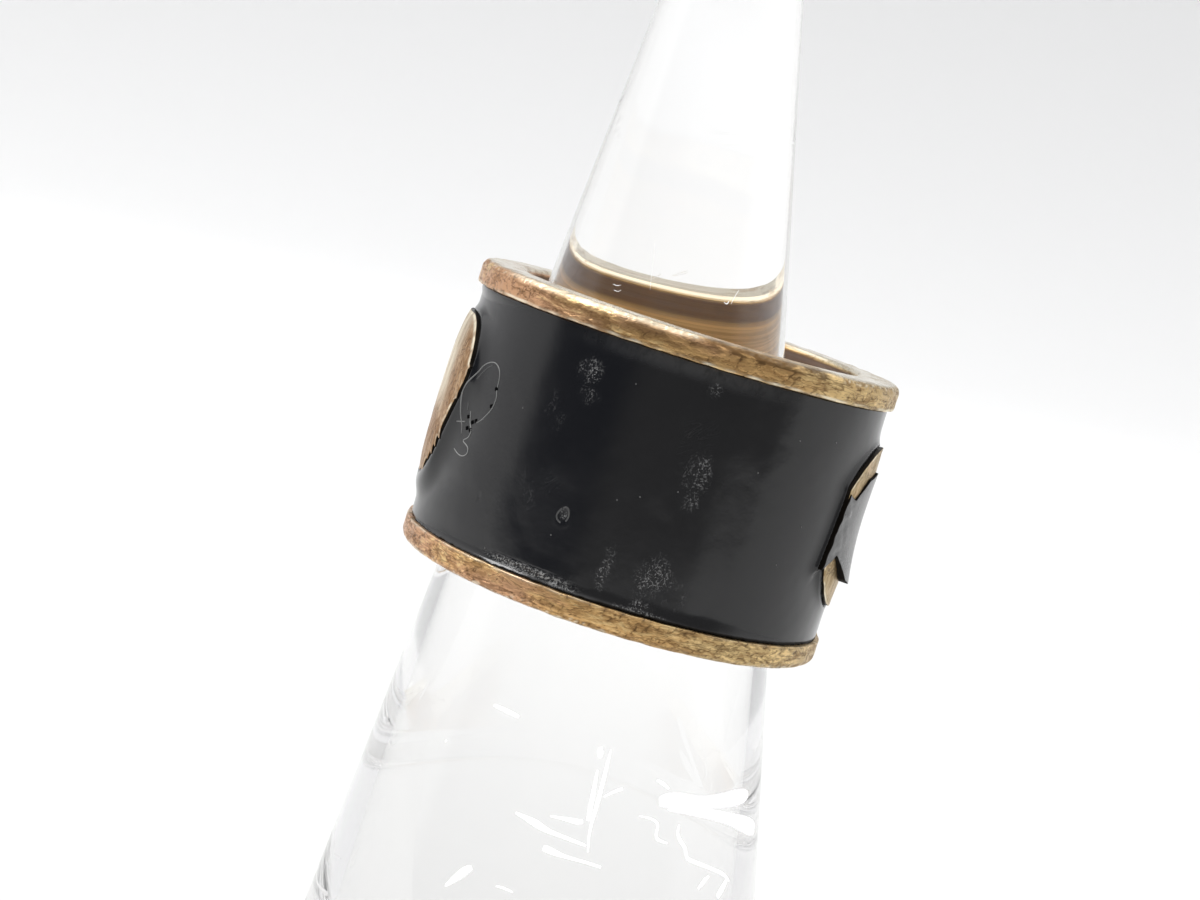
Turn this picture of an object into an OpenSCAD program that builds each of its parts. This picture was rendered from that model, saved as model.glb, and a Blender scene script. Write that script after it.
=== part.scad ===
// Wide brass band ring with two rims, a field of black enamel between them, a cast shield and a
// cast medallion on its sides, and the clear ring cone that holds it up. Millimetres, +Z up,
// origin at the centre of the cone's base. The plain side of the band faces -Y.

/* [Ring] */
// Diameter of the finger hole
bore_d = 17; // [15:0.5:18]
// Thickness of the wall at the rims
rim_wall = 2.2; // [2:0.1:2.6]
// Width of the band along the finger
band_w = 14.3; // [13.6:0.1:15]
// Width of each bare rim
rim_w = 1.2; // [0.9:0.1:1.4]
// Radius of the rims' outer corners
rim_round = 0.42; // [0.2:0.02:0.46]
// Radius of the finger hole's two edges
bore_round = 0.35; // [0.2:0.05:0.4]
// Thickness of the sleeve behind the enamel
sleeve_t = 1; // [0.8:0.1:1.1]

/* [Enamel] */
// How far the rims stand proud of the enamel
enamel_sink = 0.36; // [0.2:0.02:0.5]
// How far the enamel climbs each rim
cove_rise = 0.26; // [0.05:0.01:0.28]
// How far from the rim the climb begins
cove_run = 0.5; // [0.3:0.05:0.7]
// Gap between enamel and metal
enamel_gap = 0.02; // [0.02:0.01:0.05]

/* [Shield] */
// Angle round the band from its plain side to the middle of each emblem
emblem_turn = 82.5; // [78:0.5:95]
// Width of the shield
shield_w = 8.2; // [7:0.1:8.5]
// Height of the shield's top edge above the middle of the band
shield_top = 4.5; // [4:0.1:5]
// Depth of the shield's foot below the middle of the band
shield_foot = 3.85; // [3.5:0.05:4.5]
// Radius of the shield's top corners
shield_corner_r = 2.5; // [1:0.1:3]
// Radius of the shield's round foot
shield_foot_r = 2.95; // [2:0.05:3.2]
// How far the crown of the shield stands proud of the rims
shield_proud = 0.25; // [0.1:0.01:0.4]
// Fall of the shield's face from its crown to its top edge
shield_crown = 0.32; // [0.1:0.02:0.4]

/* [Medallion] */
// Diameter of the medallion
medal_d = 8.2; // [7.5:0.1:9]
// Width of the medallion between its two trimmed sides
medal_w = 7.2; // [6.6:0.1:8]
// How far the medallion stands proud of the rims
medal_proud = 0.12; // [0.05:0.01:0.3]
// Rise of the medallion's face for each millimetre of height
medal_slant = 0.02; // [0:0.01:0.05]
// How far the ribbon stands proud of the rims at its lowest face
ribbon_proud = 0.2; // [0.15:0.01:0.35]
// Rise of the ribbon's face towards its lower edge
ribbon_flare = 0.32; // [0.1:0.01:0.4]
// Half width of the ribbon's ends, at their lower corners
ribbon_half = 4.05; // [3.9:0.05:4.4]
// Radius of the curve on which the ribbon's ends bend back
ribbon_bow_r = 7.2; // [6.5:0.1:9]

/* [Stand] */
// Diameter of the cone's base
stand_d = 25; // [23:0.5:28]
// Half angle of the cone
stand_slope = 9.5; // [8.5:0.1:11]
// Radius of the cone's round tip
tip_r = 2; // [1.5:0.1:3]
// Bevel round the base
base_bevel = 0.4; // [0.2:0.1:0.8]
// How far the ring leans over on the cone
ring_tilt = 5.2; // [0:0.1:7]
// Clearance where the ring is seated
seat_gap = 0.03; // [0.02:0.01:0.1]

/* [Hidden] */
$fn = 180;
arc_steps = 5;
outline_steps = 9;
face_steps = 8;
tip_steps = 10;

bore_r = bore_d / 2;
outer_r = bore_r + rim_wall;
sleeve_r = bore_r + sleeve_t;
enamel_r = outer_r - enamel_sink;
half_w = band_w / 2;
rim_z = half_w - rim_w;
rim_edge = 0.06;
emblem_root_r = bore_r + sleeve_t / 2;
emblem_reach_r = outer_r + 2;

// The ribbon's floor lies below the enamel, so that no metal shows along its ends
ribbon_floor_r = enamel_r - 0.15;

// Upper right quarter and lower right quarter of the ribbon, as [x, z], from the middle outwards.
// Its ends lean in by the taper, and all that lies past ribbon_end_x belongs to an end.
ribbon_taper = 0.5;
ribbon_top = [[0, 2.85], [1.6, 2.55], [2.9, 1.53], [ribbon_half - ribbon_taper, 1.8]];
ribbon_foot = [[0, -2.8], [1.1, -2.55], [3.1, -1.27], [ribbon_half, -2.03]];
ribbon_end_x = ribbon_half - 0.8;

// Height at which the ribbon's face lies lowest, and its top edge's share of the flare
ribbon_low_z = 0.6;
ribbon_top_share = 0.4;
ribbon_peak_r = outer_r + ribbon_proud + ribbon_flare;

// Shield: the middle of its right corner and of its foot, and the angle that the straight side
// between them faces, where one line touches both rounds
shield_corner = [shield_w / 2 - shield_corner_r, shield_top - shield_corner_r];
shield_heel = [0, shield_foot_r - shield_foot];
shield_rise = shield_corner - shield_heel;
side_turn = atan2(shield_rise[1], shield_rise[0])
    - acos((shield_foot_r - shield_corner_r) / norm(shield_rise));

// Seat: the ring's lower edge is a circle that holds the ellipse in which the leaning plane cuts
// the cone. Both half axes are per millimetre of cone radius, uphill and downhill of the axis.
slope_k = tan(stand_slope);
uphill = 1 / (cos(ring_tilt) + slope_k * sin(ring_tilt));
downhill = 1 / (cos(ring_tilt) - slope_k * sin(ring_tilt));
seat_r = (bore_r - seat_gap) / ((uphill + downhill) / 2);
seat_shift = seat_r * (downhill - uphill) / 2;
base_r = stand_d / 2;
seat_z = (base_r - seat_r) / slope_k;
ring_x = seat_shift * cos(ring_tilt) + half_w * sin(ring_tilt);
ring_z = seat_z - seat_shift * sin(ring_tilt) + half_w * cos(ring_tilt);

// The round tip is tangent to the slope
apex_z = base_r / slope_k;
tip_z = apex_z - tip_r / sin(stand_slope);

function arc(x, z, r, from, to, steps = arc_steps) =
    [for (i = [0 : steps]) let (a = from + (to - from) * i / steps)
        [x + r * cos(a), z + r * sin(a)]];

function flip(points) = [for (i = [len(points) - 1 : -1 : 0]) [points[i][0], -points[i][1]]];

function reversed(points) = [for (i = [len(points) - 1 : -1 : 0]) points[i]];

// Profile of the upper rim, from the channel floor over the rim to the finger hole
function rim_profile() = concat(
    [[sleeve_r, rim_z], [outer_r - rim_edge, rim_z]],
    [[outer_r, rim_z + rim_edge]],
    arc(outer_r - rim_round, half_w - rim_round, rim_round, 0, 90),
    arc(bore_r + bore_round, half_w - bore_round, bore_round, 90, 180));

// Radius of the enamel at a height z: plain in the middle, climbing to each rim on an ellipse
function enamel_face(z, end) =
    let (into = max(0, (abs(z) - (end - cove_run)) / cove_run))
        enamel_r + cove_rise * (1 - sqrt(max(0, 1 - into * into)));

function cove_points(end) =
    [for (i = [0 : arc_steps]) let (z = end - cove_run * (1 - i / arc_steps)) [enamel_face(z, end), z]];

function enamel_profile(end) = concat(
    [[sleeve_r + enamel_gap, -end]],
    flip(cove_points(end)),
    cove_points(end),
    [[sleeve_r + enamel_gap, end]]);

// Radius of the shield's face: a crown that falls to its top edge and its foot
function shield_face(z) = outer_r + shield_proud - shield_crown * pow(z / shield_top, 4);

// Radius of the ribbon's face: hollow across its middle, with its lower edge lifted
function ribbon_face(z) = outer_r + ribbon_proud
    + ribbon_flare * (z < ribbon_low_z ? 1 : ribbon_top_share)
        * pow((ribbon_low_z - z) / (ribbon_low_z - ribbon_foot[0][1]), 2);

function medal_face(z) = outer_r + medal_proud + medal_slant * z;

// The ribbon's outline, opened by a clearance on every side
function ribbon_side(grow) = concat(
    [for (p = ribbon_top) [p[0] + (p[0] > ribbon_end_x ? grow : 0), p[1] + grow]],
    [for (p = reversed(ribbon_foot)) [p[0] + (p[0] > ribbon_end_x ? grow : 0), p[1] - grow]]);

function ribbon_outline(grow) = concat(
    ribbon_side(grow),
    [for (p = reversed(ribbon_side(grow))) if (p[0] > 0) [-p[0], p[1]]]);

module on_ring() {
    translate([ring_x, 0, ring_z]) rotate([0, ring_tilt, 0]) children();
}

// Stands a flat outline on the wall, at an angle round the band from its plain side
module on_wall(turn) {
    rotate([0, 0, turn]) rotate([90, 0, 0]) linear_extrude(height = emblem_reach_r) children();
}

// Turned shell between two radii, the outer one following a face from z = low to z = high
module shell(inner_r, low, high, kind) {
    rotate_extrude() polygon(concat(
        [[inner_r, low]],
        [for (i = [0 : face_steps]) let (z = low + (high - low) * i / face_steps)
            [kind == "shield" ? shield_face(z) : kind == "ribbon" ? ribbon_face(z) : medal_face(z), z]],
        [[inner_r, high]]));
}

// Shield: two round corners and a round foot, joined by straight sides that touch them
module shield_outline(grow) {
    corner = arc(shield_corner[0], shield_corner[1], shield_corner_r + grow, side_turn, 90, outline_steps);
    foot = arc(shield_heel[0], shield_heel[1], shield_foot_r + grow, -180 - side_turn, side_turn, outline_steps);
    polygon(concat(foot, corner, [for (p = reversed(corner)) [-p[0], p[1]]]));
}

// Disc with its two sides trimmed straight
module medal_outline(grow) {
    intersection() {
        circle(d = medal_d + 2 * grow);
        square([medal_w + 2 * grow, medal_d + 4 * grow], center = true);
    }
}

// Shield cast on the sleeve
module shield() {
    intersection() {
        shell(emblem_root_r, -shield_foot, shield_top, "shield");
        on_wall(-emblem_turn) shield_outline(0);
    }
}

// Round medallion cast on the sleeve, with a sunk seat across it for the ribbon
module medallion() {
    difference() {
        intersection() {
            shell(emblem_root_r, -medal_d / 2, medal_d / 2, "medal");
            on_wall(emblem_turn) medal_outline(0);
        }
        difference() {
            on_wall(emblem_turn) polygon(ribbon_outline(enamel_gap));
            cylinder(r = ribbon_floor_r, h = 2 * band_w, center = true);
        }
    }
    intersection() {
        rotate_extrude() translate([emblem_root_r, -half_w / 2])
            square([ribbon_floor_r - emblem_root_r, half_w]);
        on_wall(emblem_turn) polygon(ribbon_outline(0));
    }
}

// Sleeve and two rims, with the emblems cast on
module band() {
    color("peru") on_ring() union() {
        rotate_extrude() polygon(concat(rim_profile(), flip(rim_profile())));
        shield();
        medallion();
    }
}

// Black enamel that fills the channel between the rims, round the two emblems
module field_enamel() {
    color("black") on_ring() difference() {
        rotate_extrude() polygon(enamel_profile(rim_z - enamel_gap));
        on_wall(-emblem_turn) shield_outline(enamel_gap);
        on_wall(emblem_turn) medal_outline(enamel_gap);
        on_wall(emblem_turn) polygon(ribbon_outline(enamel_gap));
    }
}

// Raised black ribbon across the medallion, its ends bent back a little
module ribbon_enamel() {
    color("dimgray") on_ring() intersection() {
        shell(ribbon_floor_r + enamel_gap, ribbon_foot[0][1], ribbon_top[0][1], "ribbon");
        on_wall(emblem_turn) polygon(ribbon_outline(0));
        rotate([0, 0, emblem_turn]) translate([0, ribbon_bow_r - ribbon_peak_r, 0])
            cylinder(r = ribbon_bow_r, h = band_w, center = true);
    }
}

// Solid clear cone with a bevelled base and a round tip
module stand_cone() {
    bevel_r = base_r - base_bevel * slope_k;
    color("lightcyan") rotate_extrude() polygon(concat(
        [[0, 0], [bevel_r - base_bevel, 0], [bevel_r, base_bevel]],
        [for (i = [0 : tip_steps - 1]) let (a = stand_slope + (90 - stand_slope) * i / tip_steps)
            [tip_r * cos(a), tip_z + tip_r * sin(a)]],
        [[0, tip_z + tip_r]]));
}

band();
field_enamel();
ribbon_enamel();
stand_cone();
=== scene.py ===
# %% [markdown]
# An enamel band ring on its clear cone.
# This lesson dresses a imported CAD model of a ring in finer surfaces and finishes. The ring is a
# brass casting with two bare rims, a field of black enamel between them, a shield and a medallion
# on its sides, and it is held up by a solid clear cone. Every piece is a surface worked out with
# numpy from a few sizes in millimetres, and it stays where the CAD piece is.

import bpy
import numpy as np
from mathutils import Matrix, Vector


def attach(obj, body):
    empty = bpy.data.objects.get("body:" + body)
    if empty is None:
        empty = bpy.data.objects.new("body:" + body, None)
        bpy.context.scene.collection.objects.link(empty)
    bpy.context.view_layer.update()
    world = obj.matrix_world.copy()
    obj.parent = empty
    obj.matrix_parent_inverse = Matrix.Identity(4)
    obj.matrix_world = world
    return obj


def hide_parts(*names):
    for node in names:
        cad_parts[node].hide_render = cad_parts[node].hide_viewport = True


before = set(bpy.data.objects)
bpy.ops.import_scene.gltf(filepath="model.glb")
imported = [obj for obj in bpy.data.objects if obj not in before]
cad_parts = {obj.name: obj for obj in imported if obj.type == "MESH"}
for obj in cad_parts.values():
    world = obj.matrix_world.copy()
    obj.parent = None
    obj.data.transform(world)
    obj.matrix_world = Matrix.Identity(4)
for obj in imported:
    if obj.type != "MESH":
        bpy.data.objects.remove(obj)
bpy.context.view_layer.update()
print("CAD nodes:", sorted(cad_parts))

# %% [markdown]
# Sizes. The driving sizes of the ring and its stand are the ones that the CAD model was drawn
# with. The ring is jammed on the cone by its lower edge and leans over a little, so one function
# works out where it sits.

# %% Driving sizes, in millimetres and degrees
BORE_R = 8.5
OUTER_R = 10.7
SLEEVE_R = 9.5
ENAMEL_R = 10.34
HALF_W = 7.15
RIM_W = 1.2
RIM_Z = HALF_W - RIM_W
RIM_ROUND = 0.42
BORE_ROUND = 0.35
EMBLEM_TURN = 82.5
ROOT_R = 10.1
STAND_R = 12.5
STAND_SLOPE = 9.5
STAND_TIP_R = 2.0
STAND_BEVEL = 0.4
RING_LEAN = 5.2
SEAT_GAP = 0.03
# One millimetre in metres
MM = 0.001


def ring_seat():
    """Centre of the ring on the cone. A plane that leans by the ring's lean cuts the cone in an
    ellipse, and the ring's lower edge is the circle that just holds it."""
    lean, k = np.radians(RING_LEAN), np.tan(np.radians(STAND_SLOPE))
    uphill = 1 / (np.cos(lean) + k * np.sin(lean))
    downhill = 1 / (np.cos(lean) - k * np.sin(lean))
    seat_r = (BORE_R - SEAT_GAP) / ((uphill + downhill) / 2)
    shift = seat_r * (downhill - uphill) / 2
    x = shift * np.cos(lean) + HALF_W * np.sin(lean)
    z = (STAND_R - seat_r) / k - shift * np.sin(lean) + HALF_W * np.cos(lean)
    return np.array([x, 0.0, z])


RING_CENTRE = ring_seat()
LEAN = np.radians(RING_LEAN)
RING_AXES = np.array([
    [np.cos(LEAN), 0.0, np.sin(LEAN)],
    [0.0, 1.0, 0.0],
    [-np.sin(LEAN), 0.0, np.cos(LEAN)],
])


def to_row(points):
    """Ring-frame points in millimetres, turned by the lean and moved to the seat, in metres."""
    return (points @ RING_AXES.T + RING_CENTRE) * MM


# %% [markdown]
# The camera. It looks at the plain side of the band from a little above, turned about its own
# axis, so that the cone leans to the right in the picture. Distance, height, turn and lens were
# worked out from the four ellipses of the rims, so they are written as real sizes: the camera
# stands 120 mm from the ring, 6 degrees above its middle plane. Fine scratches and hairs are
# easiest to draw in the picture, so a helper follows lines of sight to a surface and says where
# on it each drawn point lies. They then sit on that surface from any side.

# %% Camera
# Picture size in pixels, distance in millimetres, angles in degrees, focal length in pixels
PHOTO_W, PHOTO_H = 1200, 900
CAMERA_DISTANCE = 119.7
CAMERA_RISE = 6.24
CAMERA_ROLL = 17.57
LENS_PIXELS = 2411.4
RING_CENTRE_PIXEL = (649.7, 458.5)
SENSOR_MM = 36.0


def turn_from_to(a, b):
    """Smallest turn that takes unit vector a to unit vector b, by Rodrigues' formula."""
    v, c = np.cross(a, b), float(a @ b)
    k = np.array([[0, -v[2], v[1]], [v[2], 0, -v[0]], [-v[1], v[0], 0]])
    return np.eye(3) + k + k @ k / (1 + c)


def camera_view():
    """Place of the camera in the ring's frame, and rows that point right, down and ahead. It aims
    at the ring's centre, rolls, then turns so that the centre falls on its own pixel."""
    rise, roll = np.radians(CAMERA_RISE), np.radians(CAMERA_ROLL)
    place = CAMERA_DISTANCE * np.array([0.0, -np.cos(rise), np.sin(rise)])
    ahead = -place / np.linalg.norm(place)
    right = np.cross(ahead, [0, 0, 1])
    right /= np.linalg.norm(right)
    up = np.cross(right, ahead)
    turned_right = np.cos(roll) * right + np.sin(roll) * up
    turned_up = -np.sin(roll) * right + np.cos(roll) * up
    aim = np.array([(RING_CENTRE_PIXEL[0] - PHOTO_W / 2) / LENS_PIXELS,
                    (RING_CENTRE_PIXEL[1] - PHOTO_H / 2) / LENS_PIXELS, 1.0])
    aim /= np.linalg.norm(aim)
    rows = np.array([turned_right, -turned_up, ahead])
    return place, turn_from_to(np.array([0.0, 0.0, 1.0]), aim) @ rows


def make_camera():
    """Camera object at that place, looking along those rows."""
    place, view = camera_view()
    axes = RING_AXES @ np.array([view[0], -view[1], -view[2]]).T
    matrix = np.eye(4)
    matrix[:3, :3] = axes
    matrix[:3, 3] = (RING_AXES @ place + RING_CENTRE) * MM
    data = bpy.data.cameras.new("camera")
    data.sensor_width = SENSOR_MM
    data.lens = LENS_PIXELS / PHOTO_W * SENSOR_MM
    data.clip_start, data.clip_end = 0.005, 10.0
    camera = bpy.data.objects.new("camera", data)
    bpy.context.scene.collection.objects.link(camera)
    camera.matrix_world = Matrix(matrix.tolist())
    bpy.context.scene.camera = camera
    return camera


# Where lines of sight are marched, in millimetres from the camera
MARCH_FROM, MARCH_TO, MARCH_STEPS = 100.0, 135.0, 1400


def sight_on(pixels, radius_of, upright=False):
    """Angle in degrees and height where lines of sight through pixels first meet a surface that is
    a radius over angle and height, in the ring's frame or about the cone's own upright axis. Each
    line is marched inwards, and the first step that passes the surface is shared in proportion."""
    place, view = camera_view()
    drawn = np.array(pixels, float)[:, :2]
    across = (drawn - [PHOTO_W / 2, PHOTO_H / 2]) / LENS_PIXELS
    way = np.column_stack([across, np.ones(len(drawn))]) @ view
    way /= np.linalg.norm(way, axis=1)[:, None]
    if upright:
        place, way = RING_AXES @ place + RING_CENTRE, way @ RING_AXES.T
    far = np.linspace(MARCH_FROM, MARCH_TO, MARCH_STEPS)
    points = place + way[:, None, :] * far[None, :, None]
    angle = np.arctan2(points[..., 0], -points[..., 1])
    above = np.hypot(points[..., 0], points[..., 1]) - radius_of(angle, points[..., 2])
    step = np.argmax((above[:, :-1] > 0) & (above[:, 1:] <= 0), axis=1)
    row = np.arange(len(drawn))
    share = above[row, step] / (above[row, step] - above[row, step + 1] + 1e-12)
    hit = points[row, step] * (1 - share)[:, None] + points[row, step + 1] * share[:, None]
    return np.column_stack([np.degrees(np.arctan2(hit[:, 0], -hit[:, 1])), hit[:, 2]])


camera = make_camera()
print("camera height %.1f mm, lens %.1f mm" % (camera.location.z / MM, camera.data.lens))

# %% [markdown]
# Surfaces as grids. A shape here is a function of two parameters, worked out on a grid of points
# as one array. One helper turns such a grid into a mesh: it may close the grid round either
# parameter, and it may shut an end with a fan of triangles round one point, such as a cone's tip.

# %% Grid to mesh


def grid_faces(nu, nv, wrap_u, wrap_v):
    """Quads of a grid whose point (i, j) has index i * nv + j, wrapped round where asked."""
    i = np.arange(nu if wrap_u else nu - 1)
    j = np.arange(nv if wrap_v else nv - 1)
    i, j = np.meshgrid(i, j, indexing="ij")
    i2, j2 = (i + 1) % nu, (j + 1) % nv
    return np.stack([i * nv + j, i2 * nv + j, i2 * nv + j2, i * nv + j2], -1).reshape(-1, 4)


def stood_round(radius, angle, z):
    """Points at a radius and a height, at an angle in radians round the axis, counted from the
    plain side and growing to the right."""
    x, y = radius * np.sin(angle), -radius * np.cos(angle)
    return np.stack([x, y, np.broadcast_to(z, x.shape)], -1)


def fan_faces(ring, centre, turn):
    """Triangles from a closed ring of indices to one centre index; turn flips them."""
    a, b = (ring, np.roll(ring, -1)) if turn else (np.roll(ring, -1), ring)
    return np.stack([a, b, np.full_like(ring, centre)], -1)


def make_mesh(name, points, quads, triangles=(), attributes=()):
    """Mesh of points, quads and triangles with smooth faces and one float per point for each
    named attribute, all written as whole arrays."""
    groups = [np.asarray(f, np.int32) for f in [quads, *triangles] if len(f)]
    loops = np.concatenate([g.ravel() for g in groups])
    sizes = np.concatenate([np.full(len(g), g.shape[1], np.int32) for g in groups])
    starts = np.concatenate([[0], np.cumsum(sizes)[:-1]]).astype(np.int32)
    mesh = bpy.data.meshes.new(name)
    mesh.vertices.add(len(points))
    mesh.vertices.foreach_set("co", np.ascontiguousarray(points, np.float32).ravel())
    mesh.loops.add(len(loops))
    mesh.loops.foreach_set("vertex_index", loops)
    mesh.polygons.add(len(sizes))
    mesh.polygons.foreach_set("loop_start", starts)
    mesh.polygons.foreach_set("use_smooth", np.ones(len(sizes), bool))
    mesh.update(calc_edges=True)
    mesh.validate()
    for label, values in dict(attributes).items():
        layer = mesh.attributes.new(label, "FLOAT", "POINT")
        layer.data.foreach_set("value", np.asarray(values, np.float32).ravel())
    piece = bpy.data.objects.new(name, mesh)
    bpy.context.scene.collection.objects.link(piece)
    return piece


def seat_piece(piece, cad_node, material):
    """The piece rides on the one body, takes a slot's finish, and may stand for a CAD node."""
    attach(piece, "root")
    if cad_node:
        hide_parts(cad_node)
    piece.data.materials.append(material)
    print("%s: %d faces" % (piece.name, len(piece.data.polygons)))


# %% [markdown]
# Unevenness. A cast and polished ring is never quite true. A smooth, seamless unevenness round a
# ring is a sum of waves: each has a whole number of turns round the ring, a wavelength across it,
# a phase and a weight that falls as the waves get shorter. The phases are seeded, so they stay.

# %% Waves round the ring


def waves(angle, across, seed, turns, lengths, count=24):
    """Sum of count cosine waves over angle (radians) and across (mm), scaled so that most of it
    lies between -1 and 1. Turns round the ring run up to turns, and wavelengths across lie between
    lengths."""
    rng = np.random.default_rng(seed)
    total = np.zeros(np.broadcast(angle, across).shape)
    power = 0.0
    for _ in range(count):
        n = rng.integers(1, turns + 1)
        length = rng.uniform(*lengths) * rng.choice([-1.0, 1.0])
        weight = 1 / np.sqrt(1 + n / 8)
        total += weight * np.cos(n * angle + 2 * np.pi * across / length + rng.uniform(0, 2 * np.pi))
        power += weight * weight / 2
    return total / (2 * np.sqrt(power))


def creases(angle, across, seed, turns, lengths, sharp, count=40):
    """Thin valleys, 1 where a sum of waves crosses zero and falling as its square grows."""
    return np.exp(-(waves(angle, across, seed, turns, lengths, count) / sharp) ** 2)


def smooth(value, low, high):
    """0 at low, 1 at high, with level ends: the cubic 3t2 - 2t3 of the share t between them."""
    t = np.clip((value - low) / (high - low), 0, 1)
    return t * t * (3 - 2 * t)


def wrapped(angle):
    """The same angle in radians, between minus and plus half a turn."""
    return np.arctan2(np.sin(angle), np.cos(angle))


def between(value, ends):
    """1 between the middle two of four ends, falling smoothly to 0 at the outer two."""
    return smooth(value, *ends[:2]) * (1 - smooth(value, *ends[2:]))


sample = waves(np.linspace(0, 2 * np.pi, 361), 0.0, 11, 40, (3.0, 9.0))
print("waves once round the ring: %.2f to %.2f" % (sample.min(), sample.max()))

# %% [markdown]
# Emblem outlines. The shield is a cord stretched round three discs, two at its top corners and
# one at its foot. The medallion is a disc with trimmed sides, and the ribbon is a short list of
# corners. Each is drawn flat and stood on the wall at its own angle round the band. How far a
# point lies outside an outline is needed too, because the enamel climbs wherever it meets metal.

# %% Emblem outlines and distances
# Discs are a place across, a height and a radius. Corners of the ribbon are half its outline
SHIELD_TOP, SHIELD_HALF = 4.5, 4.1
SHIELD_DISCS = [(-1.5, 2.0, 2.5), (1.5, 2.0, 2.5), (0.0, -0.9, 2.87)]
MEDAL_R, MEDAL_HALF = 4.1, 3.6
RIBBON_HALF = 4.05
RIBBON_TOP = np.array([[0, 2.85], [1.6, 2.55], [2.9, 1.53], [RIBBON_HALF - 0.5, 1.8]])
RIBBON_FOOT = np.array([[0, -2.8], [1.1, -2.55], [3.1, -1.27], [RIBBON_HALF, -2.03]])


def shield_distance(x, z):
    """Distance outside the shield, negative inside: the largest, over directions two degrees
    apart, of how far the point lies past the disc that reaches furthest that way."""
    x, z = np.broadcast_arrays(x, z)
    far = np.full(x.shape, -1e9)
    for way in np.radians(np.arange(0, 360, 2)):
        c, s = np.cos(way), np.sin(way)
        reach = max(c * disc[0] + s * disc[1] + disc[2] for disc in SHIELD_DISCS)
        far = np.maximum(far, c * x + s * z - reach)
    return far


def medal_distance(x, z):
    """Distance outside a circle, or outside the trimmed sides where that is more."""
    return np.maximum(np.hypot(x, z) - MEDAL_R, np.abs(x) - MEDAL_HALF)


def ribbon_outline():
    """Corners of the whole ribbon, anticlockwise from its right lower corner."""
    right = np.concatenate([RIBBON_FOOT, RIBBON_TOP[::-1]])
    left = right[::-1][1:-1] * [-1, 1]
    return np.concatenate([right, left])


def ribbon_distance(x, z):
    """Distance outside a polygon: the least distance to an edge, negative where a count of the
    edges crossed on the way right is odd."""
    corners = ribbon_outline()
    x, z = np.broadcast_arrays(x, z)
    nearest = np.full(x.shape, 1e9)
    inside = np.zeros(x.shape, bool)
    for a, b in zip(corners, np.roll(corners, -1, 0)):
        edge = b - a
        t = np.clip(((x - a[0]) * edge[0] + (z - a[1]) * edge[1]) / (edge @ edge + 1e-12), 0, 1)
        nearest = np.minimum(nearest, np.hypot(x - a[0] - t * edge[0], z - a[1] - t * edge[1]))
        crosses = (a[1] > z) != (b[1] > z)
        inside ^= crosses & (x < a[0] + (z - a[1]) * edge[0] / (edge[1] + 1e-12))
    return np.where(inside, -nearest, nearest)


def on_wall(x, z, radius, turn):
    """Ring-frame points of a flat drawing (x, z) stood at a radius on the wall, turned by an
    angle from the plain side: depth is the leg that x and the radius leave."""
    depth = np.sqrt(np.maximum(radius ** 2 - x ** 2, 0))
    c, s = np.cos(np.radians(turn)), np.sin(np.radians(turn))
    return np.stack([x * c + depth * s, x * s - depth * c, z + 0 * x], -1)


foot = shield_distance(0.0, -5.0) - 5.0
print("shield foot at %.2f mm, ribbon of %d corners" % (foot, len(ribbon_outline())))

# %% [markdown]
# Shared finishes. Two effects serve several materials, so each is a node group made once. Grime is
# dark matter that stays in hollows and pits. Scuffs are short dull marks in scattered patches.
# A group puts out masks only, and every material keeps its own shader.

# %% Node helpers


def new_group(name, inputs):
    """Empty node group with a vector and named number inputs, and its node maker."""
    group = bpy.data.node_groups.new(name, "ShaderNodeTree")
    group.interface.new_socket(name="Vector", in_out="INPUT", socket_type="NodeSocketVector")
    for label, value in inputs.items():
        socket = group.interface.new_socket(name=label, in_out="INPUT", socket_type="NodeSocketFloat")
        socket.default_value = value
    return group, group.nodes.new("NodeGroupInput")


def group_output(group, results):
    """Names the group's outputs and links them."""
    for label in results:
        group.interface.new_socket(name=label, in_out="OUTPUT", socket_type="NodeSocketFloat")
    end = group.nodes.new("NodeGroupOutput")
    for label, socket in results.items():
        group.links.new(socket, end.inputs[label])


def feed(tree, made, **inputs):
    """Links or sets a node's named inputs. An input named in_0 is the first socket, in_1 the
    second, and so on, and any other underscore stands for a space."""
    for key, value in inputs.items():
        socket = made.inputs[int(key[3:]) if key.startswith("in_") else key.replace("_", " ")]
        if isinstance(value, bpy.types.NodeSocket):
            tree.links.new(value, socket)
        else:
            socket.default_value = value


def node(tree, kind, settings=None, **inputs):
    """Adds a node, sets its properties, and links or sets its named inputs."""
    made = tree.nodes.new(kind)
    for key, value in (settings or {}).items():
        setattr(made, key, value)
    feed(tree, made, **inputs)
    return made


def math_node(tree, operation, a, b=0.0, clamp=False):
    """One sum, product or other operation."""
    settings = {"operation": operation, "use_clamp": clamp}
    return node(tree, "ShaderNodeMath", settings, in_0=a, in_1=b).outputs[0]


def plus(tree, a, b):
    """Sum of two values."""
    return math_node(tree, "ADD", a, b)


def minus(tree, a, b):
    """First value less the second."""
    return math_node(tree, "SUBTRACT", a, b)


def times(tree, a, b):
    """Product of two values."""
    return math_node(tree, "MULTIPLY", a, b)


def larger(tree, a, b):
    """The larger of two values."""
    return math_node(tree, "MAXIMUM", a, b)


def spread(tree, value, low, high, to_low=0.0, to_high=1.0):
    """Maps low to high onto to_low to to_high, smoothly, and holds it there outside."""
    return node(tree, "ShaderNodeMapRange", {"interpolation_type": "SMOOTHSTEP"}, Value=value,
                From_Min=low, From_Max=high, To_Min=to_low, To_Max=to_high).outputs["Result"]


def mix_colour(tree, factor, a, b):
    """Mixes two colours by a factor: the first at 0, the second at 1."""
    settings = {"data_type": "RGBA", "blend_type": "MIX", "clamp_factor": True}
    return node(tree, "ShaderNodeMix", settings, in_0=factor, in_6=a, in_7=b).outputs[2]


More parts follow.
